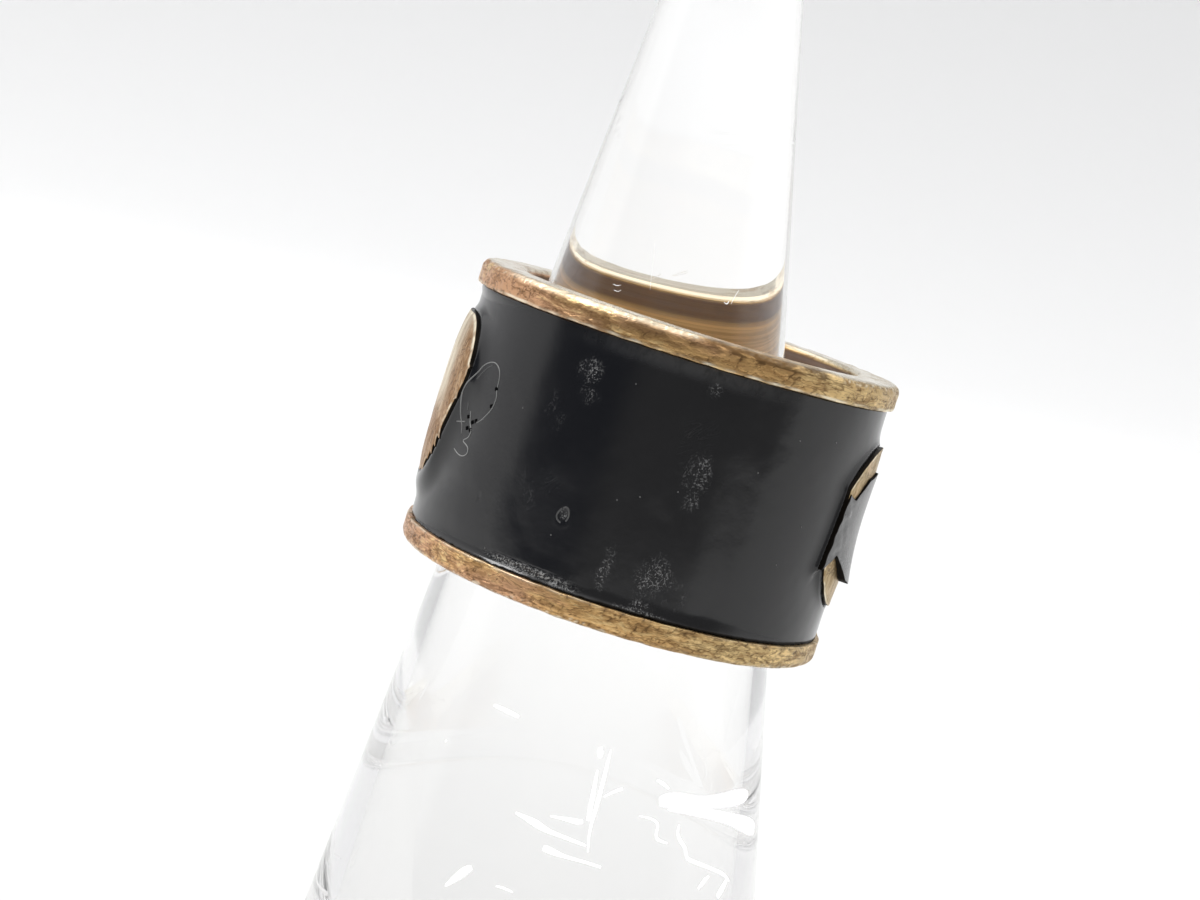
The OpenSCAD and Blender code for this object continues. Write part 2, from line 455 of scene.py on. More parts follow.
def axis(tree, place, letter):
    """One coordinate of a place."""
    return node(tree, "ShaderNodeSeparateXYZ", Vector=place).outputs[letter]


def noise(tree, vector, scale, detail=4.0, roughness=0.55, distortion=0.0):
    """Noise value between about 0 and 1."""
    return node(tree, "ShaderNodeTexNoise", {"noise_dimensions": "3D"}, Vector=vector, Scale=scale,
                Detail=detail, Roughness=roughness, Distortion=distortion).outputs[0]


def level_lines(tree, value, wide, core=0.0):
    """Thin lines where a noise crosses its middle: 1 within the core, 0 past the width."""
    return spread(tree, math_node(tree, "ABSOLUTE", minus(tree, value, 0.5)), wide, core)


def stretched(tree, vector, amounts):
    """Coordinates multiplied axis by axis, so that noise on them is drawn out where they shrink."""
    settings = {"operation": "MULTIPLY"}
    return node(tree, "ShaderNodeVectorMath", settings, in_0=vector, in_1=amounts).outputs[0]


# %% Grime and scuffs
# Scratches run along a slanting direction: the axis and angle of the turn, and how far the noise
# is drawn out along it
SCUFF_AXIS, SCUFF_ANGLE, SCUFF_DRAWN = (0.3, 1.0, 0.2), 0.7, (0.4, 0.4, 2.2)
SCUFF_WIDE = 0.012


def make_grime():
    """Pits are the cores of small cells that noise lets through, and clouds are soft patches."""
    group, given = new_group("grime", {"Pit Size": 3.0, "Cloud Size": 0.6, "Share": 0.5})
    vector, pit_size = given.outputs["Vector"], given.outputs["Pit Size"]
    cells = node(group, "ShaderNodeTexVoronoi", {"feature": "F1"}, Vector=vector, Scale=pit_size)
    core = spread(group, cells.outputs["Distance"], 0.28, 0.08)
    shut_below = minus(group, 0.85, times(group, given.outputs["Share"], 0.5))
    gate = spread(group, noise(group, vector, times(group, pit_size, 0.45)), shut_below, 0.8)
    soft = noise(group, vector, given.outputs["Cloud Size"], 5.0, 0.6)
    group_output(group, {"Pits": times(group, core, gate), "Clouds": spread(group, soft, 0.38, 0.66)})
    return group


def make_scuffs():
    """Short scratches: thin level lines of a stretched noise, let through in scattered patches."""
    group, given = new_group("scuffs", {"Size": 2.0, "Share": 0.4})
    vector, size = given.outputs["Vector"], given.outputs["Size"]
    turned = node(group, "ShaderNodeVectorRotate", {"rotation_type": "AXIS_ANGLE"}, Vector=vector,
                  Axis=SCUFF_AXIS, Angle=SCUFF_ANGLE).outputs[0]
    drawn = stretched(group, turned, SCUFF_DRAWN)
    scratch = level_lines(group, noise(group, drawn, size, 2.0, 0.4, 1.2), SCUFF_WIDE)
    shut_below = minus(group, 0.78, times(group, given.outputs["Share"], 0.4))
    patch = spread(group, noise(group, vector, times(group, size, 0.3), 2.0), shut_below, 0.74)
    group_output(group, {"Marks": times(group, scratch, patch)})
    return group


GRIME, SCUFFS = make_grime(), make_scuffs()


def place_group(tree, group, vector, **inputs):
    """A shared group in a material, with this material's own values."""
    return node(tree, "ShaderNodeGroup", {"node_tree": group}, Vector=vector, **inputs).outputs


def new_material(name):
    """Material with one Principled shader, its tree, and Object coordinates in millimetres, turned
    into the ring's own frame so that patterns run round the ring."""
    material = bpy.data.materials.new(name)
    material.use_nodes = True
    tree = material.node_tree
    tree.nodes.clear()
    shader = tree.nodes.new("ShaderNodeBsdfPrincipled")
    end = tree.nodes.new("ShaderNodeOutputMaterial")
    tree.links.new(shader.outputs[0], end.inputs["Surface"])
    in_row = tree.nodes.new("ShaderNodeTexCoord").outputs["Object"]
    place = node(tree, "ShaderNodeMapping", {"vector_type": "TEXTURE"}, Vector=in_row,
                 Location=tuple(RING_CENTRE * MM), Rotation=(0.0, LEAN, 0.0), Scale=(MM, MM, MM))
    return material, tree, shader, place.outputs[0]


def bump(tree, height, distance_mm):
    """Normal of a bump whose height of 1 stands for a distance in millimetres."""
    made = node(tree, "ShaderNodeBump", Height=height, Distance=distance_mm * MM, Strength=1.0)
    return made.outputs[0]


def attribute(tree, name):
    """A float that the mesh carries on its points."""
    return node(tree, "ShaderNodeAttribute", {"attribute_name": name}).outputs["Fac"]


print("shared groups:", GRIME.name, SCUFFS.name)

# %% [markdown]
# Antique brass. Real antique brass is plated or patinated dark and then rubbed back, so what is
# bright is what gets touched: edges and high spots. It could be one metal colour with a bump, but
# then it looks new. Here brown patina lies over brass in fine mottled patches drawn out round the
# ring, cream patches are rubbed bare, dark specks sit in the grain, and two attributes that each
# surface carries paint pale metal back. Along the edges this is partly bare metal and partly a
# painted highlight, with painted glints on the corners. On the polished end faces it is a painted
# reflection of the bright room. The emblems' walls and the gaps at their edges are painted black,
# a painted shadow. One side of the ring is pinker, where copper shows, and the other is more
# olive. Inside the finger hole the metal is plain and turned, painted grey-brown above and golden
# below as a painted reflection.

# %% Brass material
# Colours of the worn metal, from the ring's left to its right, then of its dark and bare places.
# The pale one also paints highlights and reflections, and the last one is painted black shade
COPPER = (0.60, 0.345, 0.195, 1)
YELLOW = (0.60, 0.37, 0.155, 1)
OLIVE = (0.52, 0.375, 0.18, 1)
PATINA = (0.22, 0.115, 0.045, 1)
UMBER = (0.06, 0.03, 0.014, 1)
CREAM = (0.86, 0.63, 0.31, 1)
PALE = (0.94, 0.87, 0.69, 1)
SHADOW_BLACK = (0.012, 0.010, 0.008, 1)
# The finger hole's wall, grey-brown above and golden below, is a painted reflection
HOLE_GREY = (0.27, 0.20, 0.165, 1)
HOLE_GOLD = (0.90, 0.66, 0.34, 1)
EMBLEM_PALETTE = ((0.36, 0.20, 0.085, 1), (0.40, 0.26, 0.13, 1), (0.42, 0.31, 0.15, 1))
EMBLEM_BARE = (0.56, 0.38, 0.22, 1)
# Places across the ring between which copper comes in on the left and olive on the right
COPPER_ENDS, OLIVE_ENDS = (-1.0, -8.0), (1.0, 9.0)
# How far patches push those borders to and fro
PATCH_PUSH = 26.0
# Heights between which the finger hole's painted reflection turns from gold to grey, and how far
# its turned bands push them
HOLE_ENDS, HOLE_PUSH = (5.72, 5.98), 0.7


def metal_across(tree, place, patch, palette):
    """The palette from left to right, with borders that patches push to and fro."""
    side = plus(tree, axis(tree, place, "X"), times(tree, minus(tree, patch, 0.5), PATCH_PUSH))
    metal = mix_colour(tree, spread(tree, side, *COPPER_ENDS), palette[1], palette[0])
    return mix_colour(tree, spread(tree, side, *OLIVE_ENDS), metal, palette[2])


def hole_painted_reflection(tree, place):
    """Turned wall of the finger hole, painted golden below and grey-brown above as a painted reflection,
    in fine level bands.
    """
    turned = noise(tree, stretched(tree, place, (0.02, 0.02, 1.0)), 3.0, 5.0, 0.7)
    level = plus(tree, axis(tree, place, "Z"), times(tree, minus(tree, turned, 0.5), HOLE_PUSH))
    hole = mix_colour(tree, spread(tree, level, *HOLE_ENDS), HOLE_GOLD, HOLE_GREY)
    return mix_colour(tree, times(tree, spread(tree, turned, 0.60, 0.42), 0.4), hole, PATINA)


def make_brass(name, stretch, grain_mm, dent_mm, palette=(COPPER, YELLOW, OLIVE), bare_colour=CREAM):
    """Metal whose patches are drawn out by the stretch. Grain is noise about grain_mm wide, mottle
    is three times and patches are ten times as wide, and dent_mm is the depth of their bump. The
    palette runs from left to right. Roughness falls where the surface is polished, and the colour
    is painted pale there, a painted reflection. Pale bare edges also carry painted highlights, and
    the emblems' walls are painted black as shade."""
    material, tree, shader, place = new_material(name)
    drawn = stretched(tree, place, stretch)
    grain = noise(tree, drawn, 0.9 / grain_mm, 3.0, 0.7)
    mottle = noise(tree, drawn, 0.3 / grain_mm, 4.0, 0.62, 0.4)
    patch = noise(tree, drawn, 0.09 / grain_mm, 3.0, 0.5)
    seam = noise(tree, stretched(tree, drawn, (0.5, 0.5, 1.0)), 0.2 / grain_mm, 3.0, 0.6, 0.6)
    cracks = level_lines(tree, seam, 0.022, 0.004)
    grime = place_group(tree, GRIME, drawn, Pit_Size=3.2, Cloud_Size=0.8, Share=0.45)
    metal = metal_across(tree, place, patch, palette)
    both = plus(tree, times(tree, mottle, 0.55), times(tree, grain, 0.45))
    dark = spread(tree, both, 0.505, 0.43)
    metal = mix_colour(tree, times(tree, dark, 0.5), metal, PATINA)
    bare = times(tree, spread(tree, both, 0.515, 0.57), spread(tree, patch, 0.42, 0.58))
    metal = mix_colour(tree, times(tree, bare, 0.7), metal, bare_colour)
    specks = larger(tree, spread(tree, grain, 0.31, 0.25), grime["Pits"])
    specks = larger(tree, specks, times(tree, cracks, 0.6))
    low = larger(tree, specks, times(tree, attribute(tree, "crease"), spread(tree, mottle, 0.64, 0.46)))
    metal = mix_colour(tree, times(tree, low, 0.8), metal, UMBER)
    metal = mix_colour(tree, attribute(tree, "inside"), metal, hole_painted_reflection(tree, place))
    # Painted highlights and reflection: the metal turns pale on bare edges, corners and polished end
    # faces
    polish_and_reflection = attribute(tree, "polish_and_reflection")
    shown = times(tree, polish_and_reflection, spread(tree, both, 0.43, 0.52, 0.5, 1.0))
    metal = mix_colour(tree, larger(tree, attribute(tree, "bare_and_highlight"), shown), metal, PALE)
    # Painted shadow: the emblems' walls and the thin rims of their edges are painted black
    metal = mix_colour(tree, attribute(tree, "painted_shadow"), metal, SHADOW_BLACK)
    rough = plus(tree, 0.36, times(tree, larger(tree, dark, low), 0.14))
    rough = minus(tree, rough, times(tree, polish_and_reflection, 0.24))
    height = minus(tree, both, times(tree, low, 0.4))
    calm = minus(tree, 1.0, times(tree, larger(tree, polish_and_reflection, attribute(tree, "inside")), 0.85))
    dents = bump(tree, times(tree, height, calm), dent_mm)
    feed(tree, shader, Base_Color=metal, Roughness=rough, Metallic=1.0, Normal=dents)
    return material


BRASS = make_brass("antique_brass", stretch=(0.3, 0.3, 1.0), grain_mm=0.12, dent_mm=0.042)
EMBLEM_BRASS = make_brass("emblem_brass", stretch=(1.0, 1.0, 0.4), grain_mm=0.12, dent_mm=0.025,
                          palette=EMBLEM_PALETTE, bare_colour=EMBLEM_BARE)
print("materials:", BRASS.name, EMBLEM_BRASS.name)

# %% [markdown]
# The brass band. It is one turned profile carried round the ring: finger hole, round edges, rims
# and the channel that holds the enamel. The profile is a closed line made of straight stretches
# and quarter circles, and the grid has one row of points for each of its points. The rims are
# uneven like a cast surface that was never filed flat: waves of about a hundredth of a
# millimetre, cut by thin creases, and small nicks along the outer corners. The end faces are
# bare and polished on one side of the ring and painted pale there, a painted reflection of the
# bright room, and brown on the other. The upper corners carry painted glints and a painted
# highlight.

# %% Band profile and surface


def quarter(centre_r, centre_z, radius, start, end, count):
    """Points on an arc between two angles in degrees."""
    a = np.radians(np.linspace(start, end, count))
    return np.stack([centre_r + radius * np.cos(a), centre_z + radius * np.sin(a)], -1)


def line(a, b, count):
    """Evenly spaced points from a to b, without the last."""
    t = np.linspace(0, 1, count, endpoint=False)[:, None]
    return np.array(a) * (1 - t) + np.array(b) * t


RIM_EDGE = 0.06


def band_profile():
    """Closed profile as (radius, height), from the channel's middle over the upper rim, down the
    finger hole and over the lower rim."""
    face_from, face_to = RIM_Z + RIM_EDGE, HALF_W - RIM_ROUND
    upper = np.concatenate([
        line((SLEEVE_R, 0), (SLEEVE_R, RIM_Z), 2),
        line((SLEEVE_R, RIM_Z), (OUTER_R - RIM_EDGE, RIM_Z), 2),
        quarter(OUTER_R - RIM_EDGE, face_from, RIM_EDGE, -90, 0, 5),
        line((OUTER_R, face_from), (OUTER_R, face_to), 13)[1:],
        quarter(OUTER_R - RIM_ROUND, face_to, RIM_ROUND, 0, 90, 11),
        line((OUTER_R - RIM_ROUND, HALF_W), (BORE_R + BORE_ROUND, HALF_W), 7)[1:],
        quarter(BORE_R + BORE_ROUND, HALF_W - BORE_ROUND, BORE_ROUND, 90, 180, 5),
        line((BORE_R, HALF_W - BORE_ROUND), (BORE_R, 0), 5)[1:],
    ])
    lower = upper[1:][::-1] * [1, -1]
    return np.concatenate([upper, [[BORE_R, 0.0]], lower])


# Angles in degrees between which a finish comes in (first two) and goes (last two): the dull
# stretch of the end faces, brown and without painted reflection, the painted highlight on the
# upper corner, and the brown upper face
DULL_ENDS = (-1.0, 8.0, 38.0, 50.0)
CORNER_HIGHLIGHT_ENDS = (-62.0, -48.0, -3.0, 6.0)
BROWN_ENDS = (-52.0, -34.0, 4.0, 14.0)
# Depths of what moves the rims' faces: long waves, short waves, creases, nicks and end-face waves
LEVEL_MM, SWELL_MM, CREASE_MM, NICK_MM, FACE_MM = 0.012, 0.007, 0.005, 0.04, 0.02
# Where the nicks and painted highlights of a corner are strongest, inwards from the outer radius
# and from the end face
CORNER_IN, CORNER_DOWN, CORNER_RUN = 0.16, 0.12, 0.16
# Line of pale metal along the channel's edges, partly bare and partly a painted highlight: its
# height over the edge and its half width
LIP_UP, LIP_RUN = 0.04, 0.055


def rim_shape(angle, r, z):
    """Ring-frame points of the band, with how deep the creases are and where the corners and the
    outer faces lie. Waves and creases move the rims' faces in and out, nicks eat their corners,
    and both die away towards the finger hole."""
    outside = smooth(r, SLEEVE_R + 0.3, OUTER_R - RIM_ROUND) * (np.abs(z) >= RIM_Z)
    round_it = z + np.sign(z) * (OUTER_R - r)
    level = waves(angle, z, 11, 40, (3.0, 9.0))
    swell = waves(angle, round_it, 12, 110, (0.5, 2.0), 40)
    crease = creases(angle, round_it, 15, 150, (0.3, 1.4), 0.12)
    from_corner = np.hypot(r - OUTER_R + CORNER_IN, np.abs(z) - HALF_W + CORNER_DOWN)
    corner = np.exp(-(from_corner / CORNER_RUN) ** 2)
    nick = smooth(waves(angle, round_it, 16, 240, (0.5, 2.0), 60), 0.25, 1.0) * corner
    radius = r + outside * (LEVEL_MM * level + SWELL_MM * swell - CREASE_MM * crease) - NICK_MM * nick
    face = outside * FACE_MM * waves(angle, r, 13, 60, (2.0, 6.0)) - 0.75 * NICK_MM * nick
    height = z + np.sign(z) * face
    return stood_round(radius, angle, height), crease, corner, outside


def rim_wear_and_highlight(angle, r, z, crease, corner, outside):
    """Attributes by point. One bares the metal in a line along the enamel's edges, partly a painted
    highlight, and paints glints and a highlight on the upper corners. One polishes the end faces
    and paints a reflection of the bright room on them. Crease browns the metal, and inside marks
    the finger hole's wall. Each is a product of soft steps over angle, radius and height."""
    turn = np.degrees(wrapped(angle))
    dull = between(turn, DULL_ENDS)
    over_edge = np.abs(z) - RIM_Z - LIP_UP - LIP_UP * (z > 0)
    lip = np.exp(-(over_edge / LIP_RUN) ** 2) * (r > OUTER_R - 0.1)
    lip = lip * np.where(z > 0, 1.0, 0.6 - 0.5 * smooth(np.sin(angle), -0.15, 0.2))
    spots = 0.6 + 0.7 * waves(angle, z, 14, 70, (0.4, 1.2), 40)
    round_it = z + np.sign(z) * (OUTER_R - r)
    # Painted glints and a painted highlight on the upper corner, which faces the bright room
    glint = smooth(waves(angle, round_it, 17, 240, (0.4, 1.5), 60), 0.25, 0.7) * corner
    glint = glint * (1 - 0.9 * dull)
    corner_highlight = between(turn, CORNER_HIGHLIGHT_ENDS) * corner * (z > 0)
    # Polished end faces, also painted pale as a reflection of the bright room
    end_face = smooth(OUTER_R - r, RIM_ROUND * 0.3, RIM_ROUND * 0.8) * (np.abs(z) > HALF_W - 0.4)
    crease = np.maximum(crease, 0.9 * dull * (np.abs(z) > HALF_W - RIM_ROUND) * (z > 0))
    brown = between(turn, BROWN_ENDS) * (z > 0) * (z < HALF_W - 0.5 * RIM_ROUND)
    return {
        "bare_and_highlight": np.clip(lip * np.clip(spots, 0.1, 1) + 0.6 * glint + 0.65 * corner_highlight, 0, 1),
        "polish_and_reflection": end_face * (0.85 - 0.7 * dull) * smooth(r, BORE_R + 0.02, BORE_R + 0.12),
        "crease": np.maximum(crease, 0.5 * brown) * outside,
        "inside": np.broadcast_to((r < BORE_R + 0.01).astype(float), crease.shape)}


def make_band(count=1040):
    """Profile carried round the ring, with the rims' unevenness and wear."""
    profile = band_profile()
    angle = np.linspace(0, 2 * np.pi, count, endpoint=False)[:, None]
    r, z = profile[None, :, 0], profile[None, :, 1]
    points, crease, corner, outside = rim_shape(angle, r, z)
    quads = grid_faces(count, points.shape[1], True, True)
    wear_and_highlight = rim_wear_and_highlight(angle, r, z, crease, corner, outside)
    return make_mesh("brass_band", to_row(points.reshape(-1, 3)), quads, attributes=wear_and_highlight)


band = make_band()
seat_piece(band, "band", BRASS)

# %% [markdown]
# The enamel field. Enamel is poured between the rims and fired, so its surface sags a little in
# the middle and climbs every wall that it meets. The surface is a radius over angle and height:
# a plain radius that swells towards the emblems, a cove at each rim, a climb that dies away with
# distance from the emblems and slow waves that make reflections wander, less a few pits. Wear is
# placed in short tables, because it sits where the real enamel was knocked.

# %% Enamel surface
# Cove that rises to the lower rim: rise, width, and how much wider it is on the front right
COVE_RISE, COVE_RUN, COVE_WIDER = 0.26, 0.5, 0.35
# Middle and spread, in radians, of the swellings on both sides of the ring
SIDE_ANGLE, SIDE_SPREAD = 1.5, 0.5
# Heights between which the swellings come in: at the foot, near the top and at the upper rim. On
# the left the foot swells, the top sinks and the rim swells; on the right all of it and the foot
FOOT_ENDS, TOP_ENDS, RIM_ENDS = (3.0, 4.9), (4.2, 4.8), (5.2, 5.8)
LEFT_FOOT, LEFT_TOP, LEFT_RIM = 0.17, 0.07, 0.16
RIGHT_ALL, RIGHT_FOOT = 0.07, 0.09
LONG_WAVE_MM, SHORT_WAVE_MM = 0.018, 0.003
# Fine groove along the rims, gap at the emblems, and depth of the chipped strips
DIP, DIP_RUN = 0.12, 0.06
GAP = 0.08
CHIP_MM = 0.07
# Radius at which a place on the wall is laid out flat beside the emblems
EMBLEM_R = 10.75
# How the enamel climbs to the emblems, at four heights: width of the level part beside the
# emblem, run of the slope, power of its fall, and radius that it reaches
CLIMB_HEIGHTS = [-4.2, -2.7, 3.4, 4.4]
SHIELD_CLIMB = [[0.2, 0.35, 0, 0], [0.85, 0.5, 0.4, 0.35], [3, 1.2, 1, 1], [10.8, 10.84, 10.74, 10.54]]
MEDAL_CLIMB = [[0, 0, 0, 0], [0.25, 0.22, 0.22, 0.35], [1, 1, 1, 1], [10.56, 10.72, 10.72, 10.66]]
# Angles in degrees between which a painted grey reflection under the upper rim comes in, and
# those where it goes
STREAK_ENDS = (-34.0, -10.0, 12.0, 44.0)
# Pits: angle in degrees, height, radius across, radius along the height, depth
PITS = [(-16.8, -2.62, 0.25, 0.35, 0.015), (8.0, 1.2, 0.12, 0.12, 0.02), (-43.0, -3.3, 0.1, 0.1, 0.02)]
# Scuffed patches: angle in degrees, height, half width, half height, strength
SCUFFED = [
    (-21.6, 4.1, 0.55, 0.55, 0.85), (-20.0, 3.0, 0.6, 0.4, 0.4), (10.5, 4.97, 0.32, 0.3, 0.7),
    (13.0, 1.1, 0.6, 1.0, 0.65), (13.0, -0.2, 0.5, 0.45, 0.6), (-2.3, -4.3, 0.3, 1.0, 1.0),
    (10.0, -4.1, 0.75, 1.0, 0.9), (9.3, -5.5, 0.6, 0.3, 1.0), (16.0, -4.6, 0.7, 0.7, 0.4),
    (-27.0, 2.0, 0.8, 1.1, 0.1), (-27.0, -1.6, 0.8, 1.5, 0.1), (-16.8, -2.62, 0.2, 0.3, 0.8),
]
# Chipped strips, in the same columns
CHIPPED = [(-22.0, -5.56, 2.1, 0.19, 1.0), (-12.0, -5.74, 0.8, 0.12, 0.7), (9.0, -5.78, 1.2, 0.1, 0.6)]


def on_emblem(angle, radius, turn):
    """Flat drawing coordinate of a point at an angle round the ring; far behind gives a large one."""
    away = wrapped(angle - np.radians(turn))
    return np.where(np.abs(away) < 1.2, radius * np.sin(away), 20.0 * np.sign(away))


def emblem_distances(angle, z):
    """Distances to the shield, and to the medallion with its ribbon, of places on the enamel."""
    left = shield_distance(on_emblem(angle, EMBLEM_R, -EMBLEM_TURN), z)
    x = on_emblem(angle, EMBLEM_R, EMBLEM_TURN)
    return left, np.minimum(medal_distance(x, z), ribbon_distance(x, z))


def patches(angle, z, table):
    """Highest of the soft spots in a table: each falls as the fourth power of the distance from
    its middle, counted in its own half sizes."""
    total = np.zeros(np.broadcast(angle, z).shape)
    for turn, height, wide, tall, strength in table:
        away = wrapped(angle - np.radians(turn))
        far = (ENAMEL_R * away / wide) ** 2 + ((z - height) / tall) ** 2
        total = np.maximum(total, strength * np.exp(-far ** 2))
    return total


def climbed(base, signed, z, climb):
    """Enamel near an emblem: it is level up to a flat distance, falls to the base along an
    exponential of the distance past that, and at the emblem it drops to the root, which leaves a
    thin dark gap. The rows of climb go by height."""
    flat, run, power, level = (np.interp(z, CLIMB_HEIGHTS, row) for row in climb)
    share = np.exp(-(np.maximum(signed - flat, 0) / run) ** power)
    high = base + (level - base) * share
    return high + (ROOT_R - high) * smooth(-signed, -GAP, GAP)


def pitted(angle, z):
    """Depth of the pits, each a hollow with a low swollen rim, and round or drawn out upwards."""
    pit = 0.0
    for turn, height, wide, tall, depth in PITS:
        up = (z - height) / tall
        sideways = (ENAMEL_R * (angle - np.radians(turn)) / wide) ** 2
        far = np.sqrt(sideways * (1 + 0.5 * np.clip(up, -1, 1)) + up ** 2)
        pit = pit + depth * (np.exp(-far ** 4) - 0.5 * np.exp(-((far - 1.25) / 0.25) ** 2))
    return pit


def enamel_base(angle, z):
    """Two radii away from the emblems: the swollen and wavy wall, and the cove at the lower rim,
    a quarter circle over the distance to the rim."""
    lobe = smooth(angle, -0.15, 0.1) * (1 - smooth(angle, 0.5, 1.0))
    run = COVE_RUN + COVE_WIDER * lobe * (0.7 + 0.6 * waves(angle, 0 * z, 25, 40, (1.0, 2.0)))
    into = np.clip((-z - (RIM_Z - run)) / run, 0, 1)
    cove = ENAMEL_R + COVE_RISE * (1 - np.sqrt(1 - into ** 2))
    on_left = np.exp(-((angle + SIDE_ANGLE) / SIDE_SPREAD) ** 2)
    on_right = np.exp(-((angle - SIDE_ANGLE) / SIDE_SPREAD) ** 2)
    at_foot, at_top, at_rim = smooth(-z, *FOOT_ENDS), smooth(z, *TOP_ENDS), smooth(z, *RIM_ENDS)
    left_swell = on_left * (LEFT_FOOT * at_foot - LEFT_TOP * at_top + LEFT_RIM * at_rim)
    right_swell = on_right * (RIGHT_ALL + RIGHT_FOOT * at_foot)
    wavy = LONG_WAVE_MM * waves(angle, z, 21, 14, (5.0, 16.0))
    wavy = wavy + SHORT_WAVE_MM * waves(angle, z, 22, 60, (1.0, 4.0))
    return ENAMEL_R + left_swell + right_swell + wavy * (1 - into), cove


def enamel_radius(angle, z):
    """Radius of the enamel at an angle and height, both arrays: the wall that climbs to the
    emblems, no lower than the cove, less pits and chips."""
    base, cove = enamel_base(angle, z)
    left, right = emblem_distances(angle, z)
    near_shield, near_medal = climbed(base, left, z, SHIELD_CLIMB), climbed(base, right, z, MEDAL_CLIMB)
    radius = np.where(angle < 0, near_shield, near_medal)
    radius = radius + (np.maximum(radius, cove) - radius) * (np.minimum(left, right) > GAP)
    chip = patches(angle, z, CHIPPED) * (0.5 + 0.5 * waves(angle, z, 24, 260, (0.2, 0.6), 60))
    return radius - pitted(angle, z) - CHIP_MM * np.clip(chip, 0, 1)


for label, degrees, height in (("front", 0.0, 0.0), ("beside the shield", -57.0, -3.0)):
    print("enamel radius, %s: %.2f mm" % (label, enamel_radius(np.radians(degrees), np.array(height))))

# %% [markdown]
# Raised lines. A hair that fell on the enamel before it set, and the burr along a scratch, are
# fine ridges. Each is a short route drawn in the picture, followed to the surface by lines of
# sight and smoothed, that carries a low arched section over the surface and narrows to nothing
# at both ends.

# %% Raised lines


def spline(route, per_span=7):
    """Uniform cubic B-spline: every span blends four neighbouring points with cubic weights, and
    the end points are doubled so that the curve reaches them."""
    p = np.concatenate([route[:1], route[:1], route, route[-1:], route[-1:]])
    t = np.linspace(0, 1, per_span, endpoint=False)[:, None]
    weights = np.concatenate([
        (1 - t) ** 3, 3 * t ** 3 - 6 * t ** 2 + 4, -3 * t ** 3 + 3 * t ** 2 + 3 * t + 1, t ** 3], 1) / 6
    spans = np.stack([p[:-3], p[1:-2], p[2:-1], p[3:]], 1)
    blended = np.einsum("tk,skd->std", weights, spans).reshape(-1, route.shape[1])
    return np.concatenate([blended, route[-1:]])


def raised_line(route, radius_of, high, first):
    """Points, quads and end fans of one closed ridge on a surface given as a radius over angle
    and height. The route's columns are angle, height and width. Round the section, an angle gives
    the step sideways as a cosine and the step outwards as a sine; both shrink at the route's
    ends. The indices start at first."""
    path = spline(route)
    path, wide = path[:, :2], path[:, 2:]
    reach = radius_of(np.radians(path[:, :1]), path[:, 1:])
    step = np.gradient(path * [np.pi / 180 * reach.mean(), 1.0], axis=0)
    step /= np.hypot(step[:, 0], step[:, 1])[:, None] + 1e-9
    share = np.linspace(0, 1, len(path))
    narrow = np.sqrt(np.clip(1 - np.abs(2 * share - 1) ** 6, 0.02, 1))[:, None]
    turn = np.linspace(0, 2 * np.pi, 8, endpoint=False)[None, :]
    sideways = wide / 2 * np.cos(turn) * narrow
    angle = np.radians(path[:, :1]) - step[:, 1:] * sideways / reach
    z = path[:, 1:] + step[:, :1] * sideways
    radius = radius_of(angle, z) + high * np.sin(turn) * narrow
    grid = stood_round(radius, angle, z)
    n, k = grid.shape[:2]
    points = np.concatenate([grid.reshape(-1, 3), grid[0].mean(0)[None], grid[-1].mean(0)[None]])
    start, end = first + np.arange(k), first + (n - 1) * k + np.arange(k)
    fans = [fan_faces(start, first + n * k, False), fan_faces(end, first + n * k + 1, True)]
    return points, grid_faces(n, k, False, True)[:, ::-1] + first, fans


# Pixels of the photograph's frame: loop, second strand, short strand, crossbar and hook. A tone
# says how pale each is, and -1 is dark
HAIR = [
    [(461.4, 433.4), (462.2, 426.5), (460.3, 415.8), (460.7, 405.1), (461.4, 397.4), (463.0, 389.8),
     (466.8, 382.9), (473.7, 376.0), (479.8, 370.7), (482.8, 366.1), (487.4, 363.0), (494.3, 361.5),
     (498.1, 365.3), (500.4, 371.4), (499.3, 380.6), (497.8, 386.0), (496.6, 392.8), (497.0, 397.4),
     (494.3, 404.3), (491.3, 410.4), (485.9, 415.8), (480.6, 421.2), (476.0, 422.7)],
    [(493.0, 365.5), (487.0, 368.0), (481.0, 374.5), (477.0, 379.0)],
    [(468.7, 402.0), (467.9, 409.7)],
    [(456.8, 421.2), (465.2, 421.5)],
    [(470.6, 411.2), (469.8, 425.0), (471.8, 429.6), (470.2, 434.2), (468.3, 438.0), (463.7, 439.5),
     (463.0, 441.8), (466.8, 444.9), (468.7, 449.5), (466.8, 454.8), (462.2, 456.7), (457.6, 454.1),
     (454.2, 448.3)],
]
HAIR_TONES = [0.7, 0.2, 0.3, 0.6, 0.85]
# The rim of the pit, in two strokes, painted pale: a painted highlight on its swollen rim
PIT_RIM = [
    [(563.5, 508.0), (567.5, 506.8), (569.4, 511.5), (569.0, 517.0), (565.5, 521.5)],
    [(562.0, 508.5), (558.5, 511.5), (556.2, 515.5), (557.2, 520.0), (560.5, 522.8)]]
DROPS = [(496.5, 388.9), (491.4, 406.2), (468.7, 416.6), (472.5, 422.3), (467.2, 428.0), (470.2, 430.0),
         (476.0, 421.0)]
SPECKS = [(551, 535), (485, 548), (678, 492), (800, 441), (758, 473), (636, 384), (640, 497), (617, 500),
          (776, 565), (523, 408), (836, 443), (801, 527)]
# Width, height and tone of each kind of ridge
HAIR_W, HAIR_MM = 0.055, 0.03
PIT_W, PIT_MM, PIT_TONE = 0.09, 0.02, 0.2
DROP_W, DROP_MM, DROP_TONE = 0.24, 0.04, -1.0
SPECK_W, SPECK_MM, SPECK_TONE = 0.05, 0.03, 0.5


